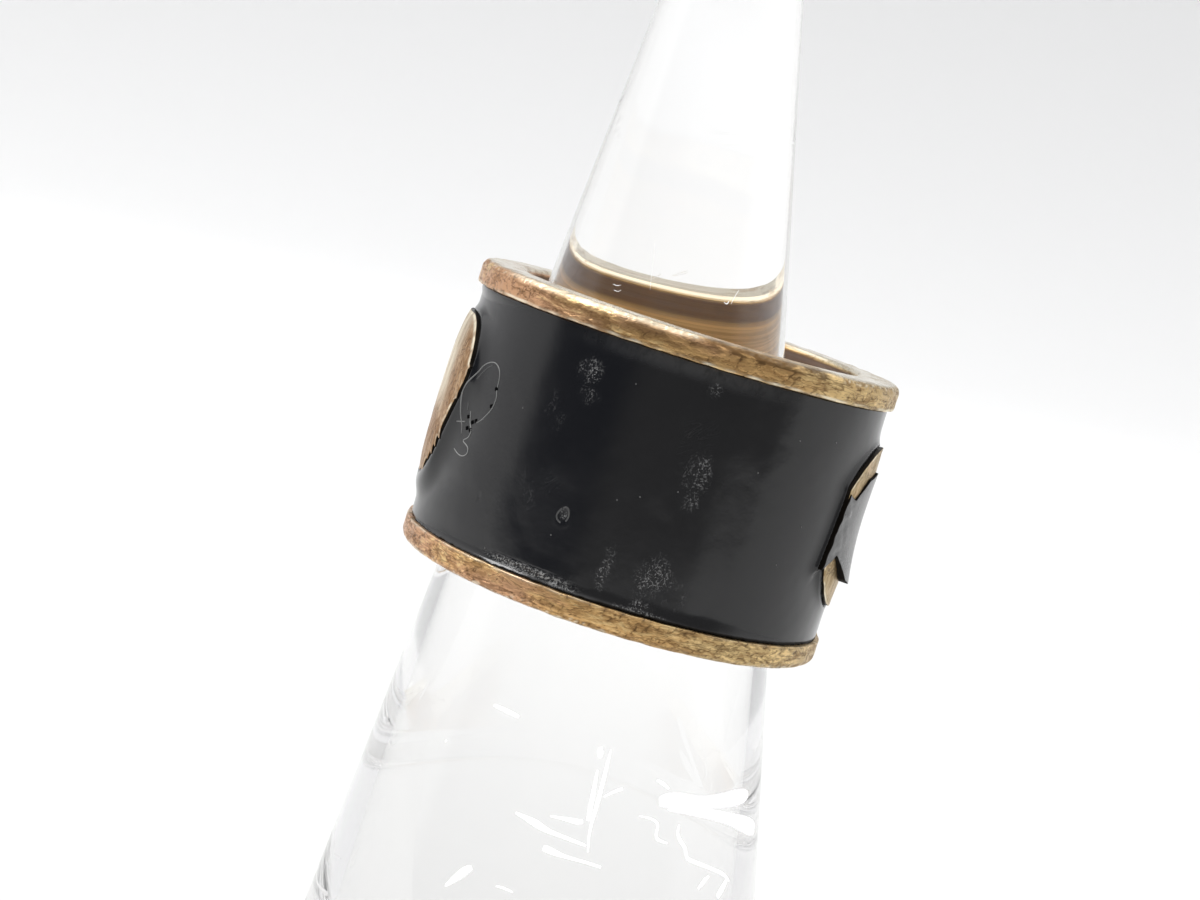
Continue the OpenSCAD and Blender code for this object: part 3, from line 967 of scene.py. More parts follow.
def drawn_route(pixels, radius_of, wide, upright=False):
    """Route of a ridge: where lines of sight meet the surface, with a width. A width given as None
    stands for the third column of the pixels."""
    where = sight_on(pixels, radius_of, upright)
    widths = np.array(pixels, float)[:, 2] if wide is None else np.full(len(where), wide)
    return np.column_stack([where, widths])


def short_mark(pixel, wide):
    """Pixels of a mark a little longer than it is wide."""
    x, y = pixel
    return [(x, y - 0.5 - 5 * wide), (x, y), (x, y + 0.5 + 5 * wide)]


def join_lines(jobs, radius_of, first):
    """All ridges of a list of (route, height, tone), with each point's tone."""
    points, quads, fans, shade = [], [], [], []
    for route, high, tone in jobs:
        p, q, f = raised_line(route, radius_of, high, first)
        first += len(p)
        points.append(p)
        quads.append(q)
        fans += f
        shade.append(np.full(len(p), tone))
    return np.concatenate(points), np.concatenate(quads), fans, np.concatenate(shade)


def enamel_lines(first):
    """All ridges on the enamel with their shade: pale for the hair, dark for drops."""
    kinds = [(pixels, HAIR_W, HAIR_MM, tone) for pixels, tone in zip(HAIR, HAIR_TONES)]
    kinds += [(pixels, PIT_W, PIT_MM, PIT_TONE) for pixels in PIT_RIM]
    kinds += [(short_mark(pixel, DROP_W), DROP_W, DROP_MM, DROP_TONE) for pixel in DROPS]
    kinds += [(short_mark(pixel, SPECK_W), SPECK_W, SPECK_MM, SPECK_TONE) for pixel in SPECKS]
    jobs = [(drawn_route(pixels, enamel_radius, wide), high, tone) for pixels, wide, high, tone in kinds]
    return join_lines(jobs, enamel_radius, first)


print("strokes of the hair: %d, drops: %d, specks: %d" % (len(HAIR), len(DROPS), len(SPECKS)))

# Columns of the enamel's grid: angles in degrees, and the share of all columns that lies before
COLUMN_TURNS = [-180, -115, -50, 50, 115, 180]
COLUMN_SHARES = [0, 0.0625, 0.3625, 0.6375, 0.9375, 1]
# How much closer rows lie towards the rims, how far the enamel laps over them, and how far and
# how near the rims its edge wanders
ROW_CROWDING, RIM_LAP, RAGGED_MM, RAGGED_POWER = 1.35, 0.01, 0.03, 40
# Rows of the plain wall behind the enamel, and how far it stays clear of the sleeve
WALL_ROWS, WALL_CLEAR = 3, 0.02


def make_field(around=866, across=105):
    """Outer surface as a grid over angle and height, closed by a plain wall behind it. Columns lie
    closest at the emblems and widest at the back, and rows lie closer towards the rims. Its edge
    on each rim wanders, as enamel does where it was wiped off the metal, and dips into a fine
    line that is painted black, a painted shadow. The gap round the emblems is painted black too."""
    share = np.linspace(0, 1, around, endpoint=False)
    turns = np.interp(share, COLUMN_SHARES, COLUMN_TURNS)
    angle = np.radians(turns)[:, None]
    s = np.linspace(-1, 1, across)[None, :]
    t = np.sign(s) * (1 - (1 - np.abs(s)) ** ROW_CROWDING)
    ragged = RAGGED_MM * waves(angle, np.sign(t), 23, 260, (3.0, 5.0), 60)
    z = t * (RIM_Z + RIM_LAP) + ragged * np.sign(t) * np.abs(t) ** RAGGED_POWER
    radius = enamel_radius(angle, np.clip(z, -RIM_Z, RIM_Z))
    radius = radius - DIP * smooth(np.abs(t) * RIM_Z, RIM_Z - DIP_RUN, RIM_Z)
    wall_z = np.linspace(RIM_Z, -RIM_Z, WALL_ROWS)[None, :]
    inner = stood_round(np.full_like(wall_z, SLEEVE_R + WALL_CLEAR), angle, wall_z)
    grid = np.concatenate([stood_round(radius, angle, z), inner], 1)
    lines, line_quads, fans, shade = enamel_lines(grid.shape[0] * grid.shape[1])
    points = np.concatenate([grid.reshape(-1, 3), lines])
    quads = np.concatenate([grid_faces(around, grid.shape[1], True, True), line_quads])

    def whole(values, on_lines):
        """One value for each point of the grid, the wall behind it and the raised lines."""
        padded = np.concatenate([values, np.zeros((around, WALL_ROWS))], 1)
        return np.concatenate([padded.ravel(), on_lines])

    # Painted shadow: black along the rims' edges and in the gap round the emblems
    edge = RIM_Z - DIP_RUN - 0.1 * smooth(angle, -0.2, 0.0) * (t < 0)
    at_rims = 0.9 * smooth(np.abs(t) * RIM_Z, edge, edge + 0.04)
    at_emblems = 1 - smooth(np.minimum(*emblem_distances(angle, z)), 0.3 * GAP, GAP)
    # A painted grey reflection under the upper rim
    streak_span = between(angle, np.radians(STREAK_ENDS))
    return make_mesh("enamel_field", to_row(points), quads, fans, {
        "painted_shadow": whole(np.maximum(at_emblems, at_rims), 0 * shade),
        "reflection_streak": whole(smooth(z, RIM_Z - 1.0, RIM_Z - 0.25) * streak_span, 0 * shade),
        "scuff": whole(patches(angle, z, SCUFFED), 0 * shade),
        "chip": whole(patches(angle, z, CHIPPED), 0 * shade),
        "shade": whole(0 * radius, shade)})


# %% Enamel material


# The first grey is of scuffed specks, partly scuffing and partly painted glints of small dents
SCUFF_AND_GLINT_GREY, CHIP_GREY, HAIR_GREY = (0.28, 0.28, 0.282, 1), (0.36, 0.36, 0.355, 1), (0.27, 0.27, 0.265, 1)
# Grey of the painted reflection under the upper rim, also of faint scuffing
STREAK_AND_SCUFF_GREY = (0.045, 0.045, 0.046, 1)
ENAMEL_DENT = 0.05


def make_enamel(name, base, rough, speck_mm):
    """Gloss black. The scuff attribute lets ripples and small dents through and greys specks in them,
    partly scuffing and partly painted glints of the dents. Chips are dull, rough and grey, and the
    shade attribute pales the hair and the pit's rim, a painted highlight. A painted grey reflection
    lies under the upper rim, and the edges by the rims and emblems are painted black, a painted
    shadow. Faint orange peel and a few fine scratches lie under it all."""
    material, tree, shader, place = new_material(name)
    grime = place_group(tree, GRIME, place, Pit_Size=1.1, Cloud_Size=0.35, Share=0.12)
    scratches = place_group(tree, SCUFFS, place, Size=0.9, Share=0.3)
    scuff, chip, shade = (attribute(tree, label) for label in ("scuff", "chip", "shade"))
    grit = noise(tree, place, 0.9 / speck_mm, 2.0, 0.7)
    smear = noise(tree, stretched(tree, place, (1.0, 1.0, 0.6)), 0.12 / speck_mm, 4.0, 0.7)
    dense = plus(tree, smear, times(tree, scuff, 0.16))
    folds = noise(tree, stretched(tree, place, (1.0, 1.0, 0.7)), 0.26 / speck_mm, 1.0, 0.5, 1.0)
    marks = times(tree, level_lines(tree, folds, 0.045), spread(tree, grit, 0.44, 0.57))
    marks = larger(tree, marks, spread(tree, grit, 0.57, 0.68))
    specks = times(tree, marks, spread(tree, dense, 0.46, 0.66))
    # Scuffed specks painted grey: partly scuffing and partly painted glints
    knocks_and_glints = times(tree, scuff, specks)
    chipped = times(tree, chip, spread(tree, grit, 0.50, 0.60))
    # Painted reflection: a grey streak under the upper rim
    reflection_streak = times(tree, attribute(tree, "reflection_streak"), spread(tree, smear, 0.15, 0.60))
    colour = mix_colour(tree, larger(tree, reflection_streak, times(tree, scuff, 0.15)), base, STREAK_AND_SCUFF_GREY)
    colour = mix_colour(tree, times(tree, knocks_and_glints, 0.9), colour, SCUFF_AND_GLINT_GREY)
    colour = mix_colour(tree, times(tree, chipped, 0.85), colour, CHIP_GREY)
    colour = mix_colour(tree, larger(tree, shade, 0.0), colour, HAIR_GREY)
    colour = mix_colour(tree, attribute(tree, "painted_shadow"), colour, SHADOW_BLACK)
    dull = larger(tree, larger(tree, chipped, shade), times(tree, knocks_and_glints, 0.6))
    dull = larger(tree, dull, times(tree, shade, -2.4))
    dull = larger(tree, dull, times(tree, attribute(tree, "painted_shadow"), 1.6))
    dull = larger(tree, dull, times(tree, scratches["Marks"], 0.4))
    roughness = plus(tree, rough, times(tree, grime["Clouds"], 0.05))
    roughness = plus(tree, roughness, times(tree, dull, 0.35))
    # Painted shadow and the dark drops turn metallic too, so that they reflect almost nothing
    black = math_node(tree, "MAXIMUM", attribute(tree, "painted_shadow"), times(tree, shade, -1.0), clamp=True)
    height = plus(tree, times(tree, noise(tree, place, 1.4, 3.0, 0.5), 0.12), times(tree, knocks_and_glints, 0.45))
    height = plus(tree, height, times(tree, times(tree, chip, grit), 1.2))
    height = minus(tree, height, times(tree, grime["Pits"], 0.15))
    feed(tree, shader, Base_Color=colour, Roughness=roughness, Metallic=black, IOR=1.5)
    feed(tree, shader, Normal=bump(tree, height, ENAMEL_DENT))
    return material


BLACK_ENAMEL = make_enamel("black_enamel", (0.006, 0.006, 0.007, 1), rough=0.14, speck_mm=0.09)
field = make_field()
seat_piece(field, "field_enamel", BLACK_ENAMEL)

# %% [markdown]
# The cast emblems. Shield and medallion are one casting with the band, raised above the enamel. A
# shape with no hollow side can be drawn as rays from its middle: one parameter goes round the
# outline, the other goes out along the ray, over a rounded edge and down the wall. The shield is
# crowned. Its edge is pale, partly rubbed bare and partly a painted highlight, and a band down its
# crown is a painted highlight. Its wall is painted black as the shade in the gap, and its lower
# right side is jagged where enamel ran over it.

# %% Emblem surfaces
# Radii of the rounded edges, and how far an uneven edge wanders
EMBLEM_EDGE, RIBBON_EDGE = 0.04, 0.03
EDGE_WANDER = 0.015
# Shield: how proud it is of the rims, how far its crown falls at the top and at the sides, and
# the depth of its casting marks
SHIELD_PROUD, SHIELD_FALL, SHIELD_BOW, SHIELD_MARK = 0.25, 0.32, 0.06, 0.01
# Medallion: the same, but for a slope and a bow over the height
MEDAL_PROUD, MEDAL_SLOPE, MEDAL_HOLLOW, MEDAL_BOW, MEDAL_MARK = 0.10, 0.015, 0.004, 0.06, 0.015


def ray_to_outline(distance, count):
    """Outline points found along rays from the middle by halving the range where the distance
    changes sign, for all rays at once."""
    a = np.linspace(0, 2 * np.pi, count, endpoint=False)
    low, high = np.zeros(count), np.full(count, 8.0)
    for _ in range(40):
        mid = (low + high) / 2
        out = distance(mid * np.cos(a), mid * np.sin(a)) > 0
        low, high = np.where(out, low, mid), np.where(out, mid, high)
    return np.stack([low * np.cos(a), low * np.sin(a)], -1)


def edge_fall(inset, edge_r):
    """How far a rounded edge lies below its face: a quarter circle over the distance inwards."""
    share = 1 - np.clip(inset / edge_r, 0, 1)
    return edge_r * (1 - np.sqrt(np.clip(1 - share ** 2, 0, 1)))


def raised_emblem(name, distance, face, turn, edge_r, jags, wear_and_highlight, rays=520, steps=40):
    """Points (ray, step): steps run from the middle to the outline, closer near the edge, then down
    the wall to the root. The edge is a quarter circle of radius edge_r, jags moves the outline in
    or out by a function of its own points, and a wear function says how pale the metal is
    painted, for bare metal and for painted highlights. The edge's thin rim, the wall and the back
    are painted black, a painted shadow."""
    outline = ray_to_outline(distance, rays)
    length = np.hypot(outline[:, 0], outline[:, 1])[:, None]
    outline = outline * (1 + jags(outline[:, :1], outline[:, 1:]) / length)
    t = 1 - (1 - np.linspace(0, 1, steps)[1:]) ** 2.2
    x, z = outline[:, :1] * t[None, :], outline[:, 1:] * t[None, :]
    inset = (1 - t)[None, :] * length
    radius = face(x, z) - edge_fall(inset, edge_r)
    top = on_wall(x, z, radius, turn)
    wall_r = np.linspace(1, 0, 4)[None, 1:] * (radius[:, -1:] - ROOT_R) + ROOT_R
    wall = on_wall(outline[:, :1] + 0 * wall_r, outline[:, 1:] + 0 * wall_r, wall_r, turn)
    middle = np.zeros(1)
    cap_radii = [face(middle, middle), middle + ROOT_R]
    caps = [on_wall(middle, middle, cap_r, turn) for cap_r in cap_radii]
    grid = np.concatenate([top, wall], 1)
    columns = grid.shape[1]
    points = np.concatenate([grid.reshape(-1, 3), *caps])
    ring, last = np.arange(rays) * columns, rays * columns
    fans = [fan_faces(ring, last, True), fan_faces(ring + columns - 1, last + 1, False)]
    bare_and_highlight = wear_and_highlight(x, z, inset) * (inset > 0.008)
    # Painted shadow: the thin rim of the edge, the wall and the back cap are painted black
    painted_shadow = np.concatenate([(inset < 0.008) * 1.0, np.ones((rays, 3))], 1)
    bare_and_highlight = np.concatenate([bare_and_highlight, np.zeros((rays, 3))], 1)
    quads = grid_faces(rays, columns, True, False)[:, ::-1]
    return make_mesh(name, to_row(points), quads, fans, {
        "bare_and_highlight": np.append(bare_and_highlight.ravel(), [0.0, 0.0]), "painted_shadow": np.append(painted_shadow.ravel(), [0.0, 1.0])})


def shield_face(x, z):
    """Crowned: falls with the fourth power of height and the square of width, over a slight
    unevenness left by casting."""
    crown = OUTER_R + SHIELD_PROUD - SHIELD_FALL * (z / SHIELD_TOP) ** 4
    crown = crown - SHIELD_BOW * (x / SHIELD_HALF) ** 2
    return crown + SHIELD_MARK * waves(x / OUTER_R, z, 41, 60, (1.0, 6.0))


# Height at which each tooth ends, how far it stands out, and its height
TEETH = [
    (2.1, 0.14, 0.3), (0.5, 0.16, 0.5), (-1.5, 0.34, 0.5), (-1.95, 0.32, 0.35), (-2.36, 0.28, 0.35),
    (-2.8, 0.16, 0.3), (-3.45, 0.4, 0.5)]


def shield_jags(x, z):
    """Teeth along the right side, each growing slowly downwards and cut off sharply at its point,
    over a slight unevenness."""
    jag = EDGE_WANDER * waves(z / OUTER_R, 0 * z, 42, 140, (1.0, 2.0), 40)
    for point, length, tall in TEETH:
        share = (point + tall - z) / tall
        tooth = length * np.clip(share, 0, 1) ** 2 * smooth(z, point - 0.06, point)
        jag = np.maximum(jag, tooth * (x > 0))
    return jag


def shield_wear_and_highlight(x, z, inset):
    """Pale lip, partly bare and partly a painted highlight, broad at the top corners and broken below,
    and a painted highlight in a band down the crown.
    """
    lip = np.exp(-((inset - 0.09) / (0.07 + 0.06 * smooth(z, 1.8, 3.4))) ** 2)
    broken = 0.25 + 0.75 * smooth(z, 1.0, 3.0) + 0.5 * waves(np.arctan2(z, x), 0 * z, 45, 90, (1.0, 2.0))
    drawn = 0.85 + 0.35 * waves(x / 2.0, z, 46, 30, (3.0, 9.0))
    crown = np.exp(-((x - 0.6) / 1.5) ** 4) * np.clip(drawn, 0.5, 1) * smooth(z, -1.0, 0.6)
    return np.clip(np.maximum(lip * np.clip(broken, 0, 1), 0.75 * crown), 0, 1)


def medal_face(x, z):
    """Rises with height, bows with the square of height and of width, and is dimpled by casting."""
    dimples = MEDAL_MARK * waves(x / OUTER_R, z, 43, 90, (0.6, 3.0))
    upright = OUTER_R + MEDAL_PROUD + MEDAL_SLOPE * z - MEDAL_HOLLOW * z ** 2
    return upright - MEDAL_BOW * (x / MEDAL_HALF) ** 2 + dimples


def medal_jags(x, z):
    """A slightly uneven edge."""
    return EDGE_WANDER * waves(np.arctan2(z, x), 0 * z, 44, 40, (1.0, 2.0))


def medal_wear(x, z, inset):
    """Bare only on a thin broken lip."""
    broken = 0.5 + 0.6 * waves(np.arctan2(z, x), 0 * z, 47, 70, (1.0, 2.0))
    return np.exp(-((inset - 0.05) / 0.045) ** 2) * np.clip(broken, 0, 0.9)


for name, turn, distance, face, jags, wear_and_highlight in (
        ("brass_shield", -EMBLEM_TURN, shield_distance, shield_face, shield_jags, shield_wear_and_highlight),
        ("brass_medallion", EMBLEM_TURN, medal_distance, medal_face, medal_jags, medal_wear)):
    emblem = raised_emblem(name, distance, face, turn, EMBLEM_EDGE, jags, wear_and_highlight)
    seat_piece(emblem, None, EMBLEM_BRASS)

# %% [markdown]
# The ribbon. Its ends are forked, so rays from the middle would cross its outline twice. It is a
# ruled surface instead: one parameter runs along it from end to end, the other goes up from its
# foot line to its top line. Its face is hollow across the middle, and its lower edge is lifted.

# %% Ribbon surface
# Height of the face's hollow, how proud it is there, how far its edges flare out, and the share
# of that for the upper edge. Its ends bend back, and one half is crumpled
RIBBON_LOW_Z, RIBBON_PROUD, RIBBON_FLARE, RIBBON_TOP_SHARE = 0.6, 0.2, 0.32, 0.4
RIBBON_BEND, RIBBON_CRUMPLE = 0.1, 0.03


def along(table, x_share):
    """Point on a half outline at a share of its length in x, mirrored for a negative share."""
    keys = np.linspace(0, 1, len(table))
    x = np.interp(np.abs(x_share), keys, table[:, 0]) * np.sign(x_share)
    return np.stack([x, np.interp(np.abs(x_share), keys, table[:, 1])], -1)


def ribbon_face(x, z):
    """Radius of the face: lowest at one height, rising with the square of the distance from it,
    less at the ends, where it bends back. The half nearer the plain side is crumpled."""
    reach = (RIBBON_LOW_Z - z) / (RIBBON_LOW_Z - RIBBON_FOOT[0, 1])
    share = np.where(z < RIBBON_LOW_Z, 1.0, RIBBON_TOP_SHARE)
    bend = np.clip(x / RIBBON_HALF, -1, 1) ** 2
    crumple = RIBBON_CRUMPLE * waves(x / OUTER_R, z, 31, 110, (0.5, 2.0)) * smooth(-x, 2.0, 3.2)
    flared = OUTER_R + RIBBON_PROUD + RIBBON_FLARE * share * reach ** 2 * (1 - bend)
    return flared - RIBBON_BEND * bend + crumple


def make_ribbon(along_count=181, across=49, edge_r=RIBBON_EDGE):
    """Ruled face with rounded edges, a wall down to the root and a back, as one closed grid whose
    two sides share their border."""
    u = np.linspace(-1, 1, along_count)
    u = np.sign(u) * np.abs(u) ** 0.9
    v = (1 - np.cos(np.linspace(0, np.pi, across))) / 2
    top, foot = along(RIBBON_TOP, u), along(RIBBON_FOOT, u)
    flat = foot[:, None, :] * (1 - v)[None, :, None] + top[:, None, :] * v[None, :, None]
    x, z = flat[..., 0], flat[..., 1]
    inset = np.clip(-ribbon_distance(x, z), 0, None)
    face = on_wall(x, z, ribbon_face(x, z) - edge_fall(inset, edge_r), EMBLEM_TURN)
    back = on_wall(x, z, np.full_like(x, ROOT_R), EMBLEM_TURN)
    n = along_count * across
    front_quads = grid_faces(along_count, across, False, False)
    back_quads = front_quads[:, ::-1] + n
    index = np.arange(n).reshape(along_count, across)
    border = np.concatenate([index[:-1, 0], index[-1, :-1], index[:0:-1, -1], index[0, :0:-1]])
    after = np.roll(border, -1)
    wall = np.stack([border, border + n, after + n, after], -1)
    points = np.concatenate([face.reshape(-1, 3), back.reshape(-1, 3)])
    # Painted shadow: the ribbon's edges, wall and back are painted black
    painted_shadow = np.concatenate([1 - smooth(inset, 0.5 * edge_r, 1.5 * edge_r), np.ones_like(inset)])
    quads = np.concatenate([front_quads, back_quads, wall])
    return make_mesh("enamel_ribbon", to_row(points), quads, attributes={"painted_shadow": painted_shadow})


# The ribbon's black enamel has a grey base: a painted reflection of the bright room on its side
RIBBON_ENAMEL = make_enamel("ribbon_enamel", (0.10, 0.10, 0.101, 1), rough=0.24, speck_mm=0.2)
ribbon = make_ribbon()
seat_piece(ribbon, "ribbon_enamel", RIBBON_ENAMEL)

# %% [markdown]
# The clear cone. It is solid acrylic, so it bends what is seen through it: the ring's far wall
# shows inside it as a curved band. That needs a closed mesh with a truly round section and a
# plain transmitting shader. The profile is a flat base, a small bevel, the slope and a round tip.

# %% Cone surface and material


def cone_profile():
    """Profile from the base's rim over the bevel and the slope to just under the tip's top."""
    k = np.tan(np.radians(STAND_SLOPE))
    bevel_r = STAND_R - STAND_BEVEL * k
    tip_z = STAND_R / k - STAND_TIP_R / np.sin(np.radians(STAND_SLOPE))
    start = np.array([bevel_r, STAND_BEVEL])
    tip = quarter(0, tip_z, STAND_TIP_R, STAND_SLOPE, 88, 24)
    base = line((0.4, 0), (bevel_r - STAND_BEVEL - 0.05, 0), 8)
    bevel = line((bevel_r - STAND_BEVEL, 0), start, 4)
    return np.concatenate([base, bevel, line(start, tip[0], 60), tip]), tip_z + STAND_TIP_R


def make_cone(around=512):
    """Profile carried round the cone's own upright axis, shut with a fan at the tip and base."""
    profile, top = cone_profile()
    angle = np.linspace(0, 2 * np.pi, around, endpoint=False)[:, None]
    r, z = profile[None, :, 0], profile[None, :, 1]
    grid = stood_round(r, angle, z)
    columns = grid.shape[1]
    points = np.concatenate([grid.reshape(-1, 3), [[0, 0, top]], [[0, 0, 0]]]) * MM
    ring, last = np.arange(around) * columns, around * columns
    fans = [fan_faces(ring + columns - 1, last, True), fan_faces(ring, last + 1, False)]
    return make_mesh("clear_cone", points, grid_faces(around, columns, True, False), fans)


# Heights from the ring's middle between which the cone's colour changes, and its colour below and
# above: darker towards the bottom
TINT_ENDS = (-22.0, -5.0)
TINT_LOW, TINT_HIGH = (0.86, 0.86, 0.86, 1), (0.985, 0.985, 0.985, 1)
ACRYLIC_INDEX, HAIR_SCRATCH = 1.49, 0.006


def make_acrylic(name):
    """Clear acrylic: full transmission, a colour darker towards the bottom, and a bump of a few fine
    scratches.
    """
    material, tree, shader, place = new_material(name)
    marks = place_group(tree, SCUFFS, place, Size=0.7, Share=0.25)["Marks"]
    tint = mix_colour(tree, spread(tree, axis(tree, place, "Z"), *TINT_ENDS), TINT_LOW, TINT_HIGH)
    feed(tree, shader, Base_Color=tint, Metallic=0.0, Transmission_Weight=1.0, IOR=ACRYLIC_INDEX)
    feed(tree, shader, Roughness=times(tree, marks, 0.25), Normal=bump(tree, marks, HAIR_SCRATCH))
    return material


ACRYLIC = make_acrylic("clear_acrylic")
cone = make_cone()
seat_piece(cone, "stand_cone", ACRYLIC)

# %% [markdown]
# Scratches and glints on the cone. Acrylic scratches easily, and a deep scratch scatters the light
# that comes through the cone, so it looks whiter than the clear plastic round it. Most white marks
# low on the cone stand for glints and light bent inside it, so they are painted highlights with a
# painted glow. All are raised lines again, drawn in the picture with a width at each point, with a
# white rough finish.

# %% Cone scratches and painted glints
# Pixels of the photograph's frame and a width in millimetres
SCRATCHES_AND_GLINTS = [
    [(494, 705, 0.12), (507, 711, 0.24), (519, 717, 0.16)],
    [(600.5, 747, 0.2), (600.5, 753, 0.36), (600, 758, 0.2)],
    [(597.5, 770, 0.1), (593, 795, 0.26), (588, 821, 0.2)],
    [(611, 749.6, 0.08), (607, 766, 0.18), (603, 782, 0.2), (597, 806, 0.2), (589, 830, 0.14),
     (588, 852.5, 0.08)],
    [(603.5, 797, 0.08), (613, 792, 0.14), (623, 788.6, 0.14)],
    [(515.6, 812.7, 0.12), (526, 818, 0.22), (537, 824, 0.42), (546, 830.5, 0.2), (565, 837.5, 0.18),
     (586, 845.8, 0.14)],
    [(550, 816, 0.1), (566, 819, 0.16), (577, 822, 0.3), (583, 822, 0.2)],
    [(543, 847.5, 0.3), (552, 851.5, 0.34), (562, 856, 0.16), (582, 861, 0.14), (601, 867.4, 0.14)],
    [(639.5, 816, 0.08), (654, 819, 0.12), (659.4, 825, 0.15), (654.4, 835.9, 0.15), (659, 841, 0.14),
     (667.7, 843.3, 0.1)],
    [(679.3, 824.3, 0.14), (676, 837.5, 0.18), (687.6, 849.2, 0.2), (684.3, 859, 0.18), (698, 863, 0.2),
     (715.8, 870.7, 0.16), (724, 874, 0.2), (729, 881, 0.1)],
    [(698, 889, 0.16), (704, 880.7, 0.3), (709, 876, 0.14)],
    [(613, 284, 0.02), (617, 286, 0.04), (621, 285, 0.02)],
    [(614, 290, 0.02), (618, 292, 0.03), (621, 290, 0.02)],
    [(655, 241, 0.01), (653, 262, 0.015), (650, 290, 0.01)],
    [(724, 302, 0.03), (727, 305, 0.07), (729, 301, 0.03)],
    [(731, 304, 0.02), (735, 296, 0.035), (739, 290, 0.02)],
    [(717, 897, 0.3), (722, 889, 0.46), (727, 879, 0.2)],
    [(445, 886, 0.1), (456, 878, 0.4), (466, 870, 0.44), (472, 868, 0.24)],
    [(496, 886, 0.08), (504, 888, 0.12), (513, 892.5, 0.08)],
    [(446, 740, 0.12), (446, 742, 0.12)],
    [(657, 780, 0.1), (664, 784, 0.2), (669, 789, 0.1)],
    [(659, 802, 0.5), (672, 799, 0.9), (699, 803, 0.55), (724, 800, 0.8), (742, 796, 0.9),
     (748, 795, 0.4)],
    [(668, 808, 0.3), (705, 812, 0.5), (730, 819, 0.6), (748, 826, 1.0), (754, 829, 0.6)],
]
# Height of the ridges in millimetres, and strength of their painted glow
SCRATCH_HIGH, GLINT_GLOW = 0.012, 0.4
SCRATCH_SHADE, SCRATCH_LIGHT = (0.86, 0.86, 0.87, 1), (0.97, 0.97, 0.97, 1)
WHITE, BLACK = (1, 1, 1, 1), (0, 0, 0, 1)


def cone_radius(angle, z):
    """Radius of the slope at a height, the same all round."""
    return STAND_R - z * np.tan(np.radians(STAND_SLOPE)) + 0 * angle


def make_scratches_and_glints():
    """All scratches and painted glints as low ridges on the cone's slope."""
    jobs = [(drawn_route(route, cone_radius, None, True), SCRATCH_HIGH, 1.0) for route in SCRATCHES_AND_GLINTS]
    points, quads, fans, _ = join_lines(jobs, cone_radius, 0)
    return make_mesh("cone_scratches_and_glints", points * MM, quads, fans)


def make_glint_white(name):
    """White and rough, with a painted glow that stands in for glints and light bent in the clear cone.
    """
    material, tree, shader, place = new_material(name)
    grain = spread(tree, noise(tree, place, 6.0, 3.0, 0.6), 0.3, 0.7)
    white = mix_colour(tree, grain, SCRATCH_SHADE, SCRATCH_LIGHT)
    feed(tree, shader, Base_Color=white, Roughness=0.6)
    feed(tree, shader, Emission_Color=WHITE, Emission_Strength=GLINT_GLOW)
    return material


GLINT_WHITE = make_glint_white("scratch_and_glint_white")
# Painted highlights: white glowing marks for the cone's scratches and glints
scratches = make_scratches_and_glints()
seat_piece(scratches, None, GLINT_WHITE)

# %% [markdown]
# The studio. The photograph is taken on white, with pale light from all sides and a darker room
# behind the camera, which is what the gloss enamel mirrors. A white floor curves up into a wall
# far behind, and the world gives the light: bright above and at the sides, dim behind the camera.

# %% Floor, backdrop and light
# The floor's front edge from left to right, in metres; the gloss enamel mirrors it
FLOOR_EDGE = np.array([
    (-1.2, -0.157), (0.0, -0.157), (0.03, -0.14), (0.05, -0.118), (0.08, -0.095), (0.086, -0.1),
    (0.095, -0.131), (0.112, -0.128), (0.134, -0.12), (0.14, -0.096), (0.147, -0.08), (0.186, -0.09),
    (0.195, -0.077), (0.21, -0.08), (1.2, -0.08)])
# In metres: where the floor starts to curve up, its level, the curve's radius and the wall's top
FLOOR_BACK, FLOOR_Z, WALL_R, WALL_TOP = 0.7, -0.00005, 0.3, 0.9
PAPER_NEAR, PAPER_FAR = (0.75, 0.75, 0.745, 1), (0.95, 0.95, 0.95, 1)
UNDER_CONE_GLOW = 0.5


def make_backdrop():
    """Sheet: a flat floor with its own front edge, a quarter circle and a wall."""
    a = np.linspace(0, np.pi / 2, 17)
    y = np.concatenate([[0.0, 0.05], FLOOR_BACK + WALL_R * np.sin(a), [FLOOR_BACK + WALL_R]])
    z = np.concatenate([[0.0, 0.0], WALL_R * (1 - np.cos(a)), [WALL_TOP]]) + FLOOR_Z
    x, front = FLOOR_EDGE[:, 0], FLOOR_EDGE[:, 1]
    y = np.where(np.arange(len(y)) == 0, front[:, None], y)
    points = np.stack([x[:, None] + 0 * y, y, z + 0 * y], -1)
    return make_mesh("backdrop", points.reshape(-1, 3), grid_faces(len(x), y.shape[1], False, False))


def make_paper():
    """White paper, a little whiter towards the back. It glows where the clear cone stands on it,
    since the real cone pipes light down to its own base."""
    material = bpy.data.materials.new("white_paper")
    material.use_nodes = True
    material.cycles.emission_sampling = "NONE"
    tree = material.node_tree
    shader = tree.nodes["Principled BSDF"]
    place = tree.nodes.new("ShaderNodeTexCoord").outputs["Object"]
    axes = node(tree, "ShaderNodeSeparateXYZ", Vector=place).outputs
    flat = node(tree, "ShaderNodeCombineXYZ", X=axes["X"], Y=axes["Y"], Z=0.0).outputs[0]
    away = node(tree, "ShaderNodeVectorMath", {"operation": "LENGTH"}, in_0=flat).outputs["Value"]
    under = spread(tree, away, STAND_R * MM, (STAND_R - 0.5) * MM, 0.0, UNDER_CONE_GLOW)
    white = mix_colour(tree, spread(tree, axes["Y"], 0.05, 0.6), PAPER_NEAR, PAPER_FAR)
    glow = mix_colour(tree, under, BLACK, WHITE)
    feed(tree, shader, Base_Color=white, Roughness=0.9, Emission_Color=glow, Emission_Strength=1.0)
    return material


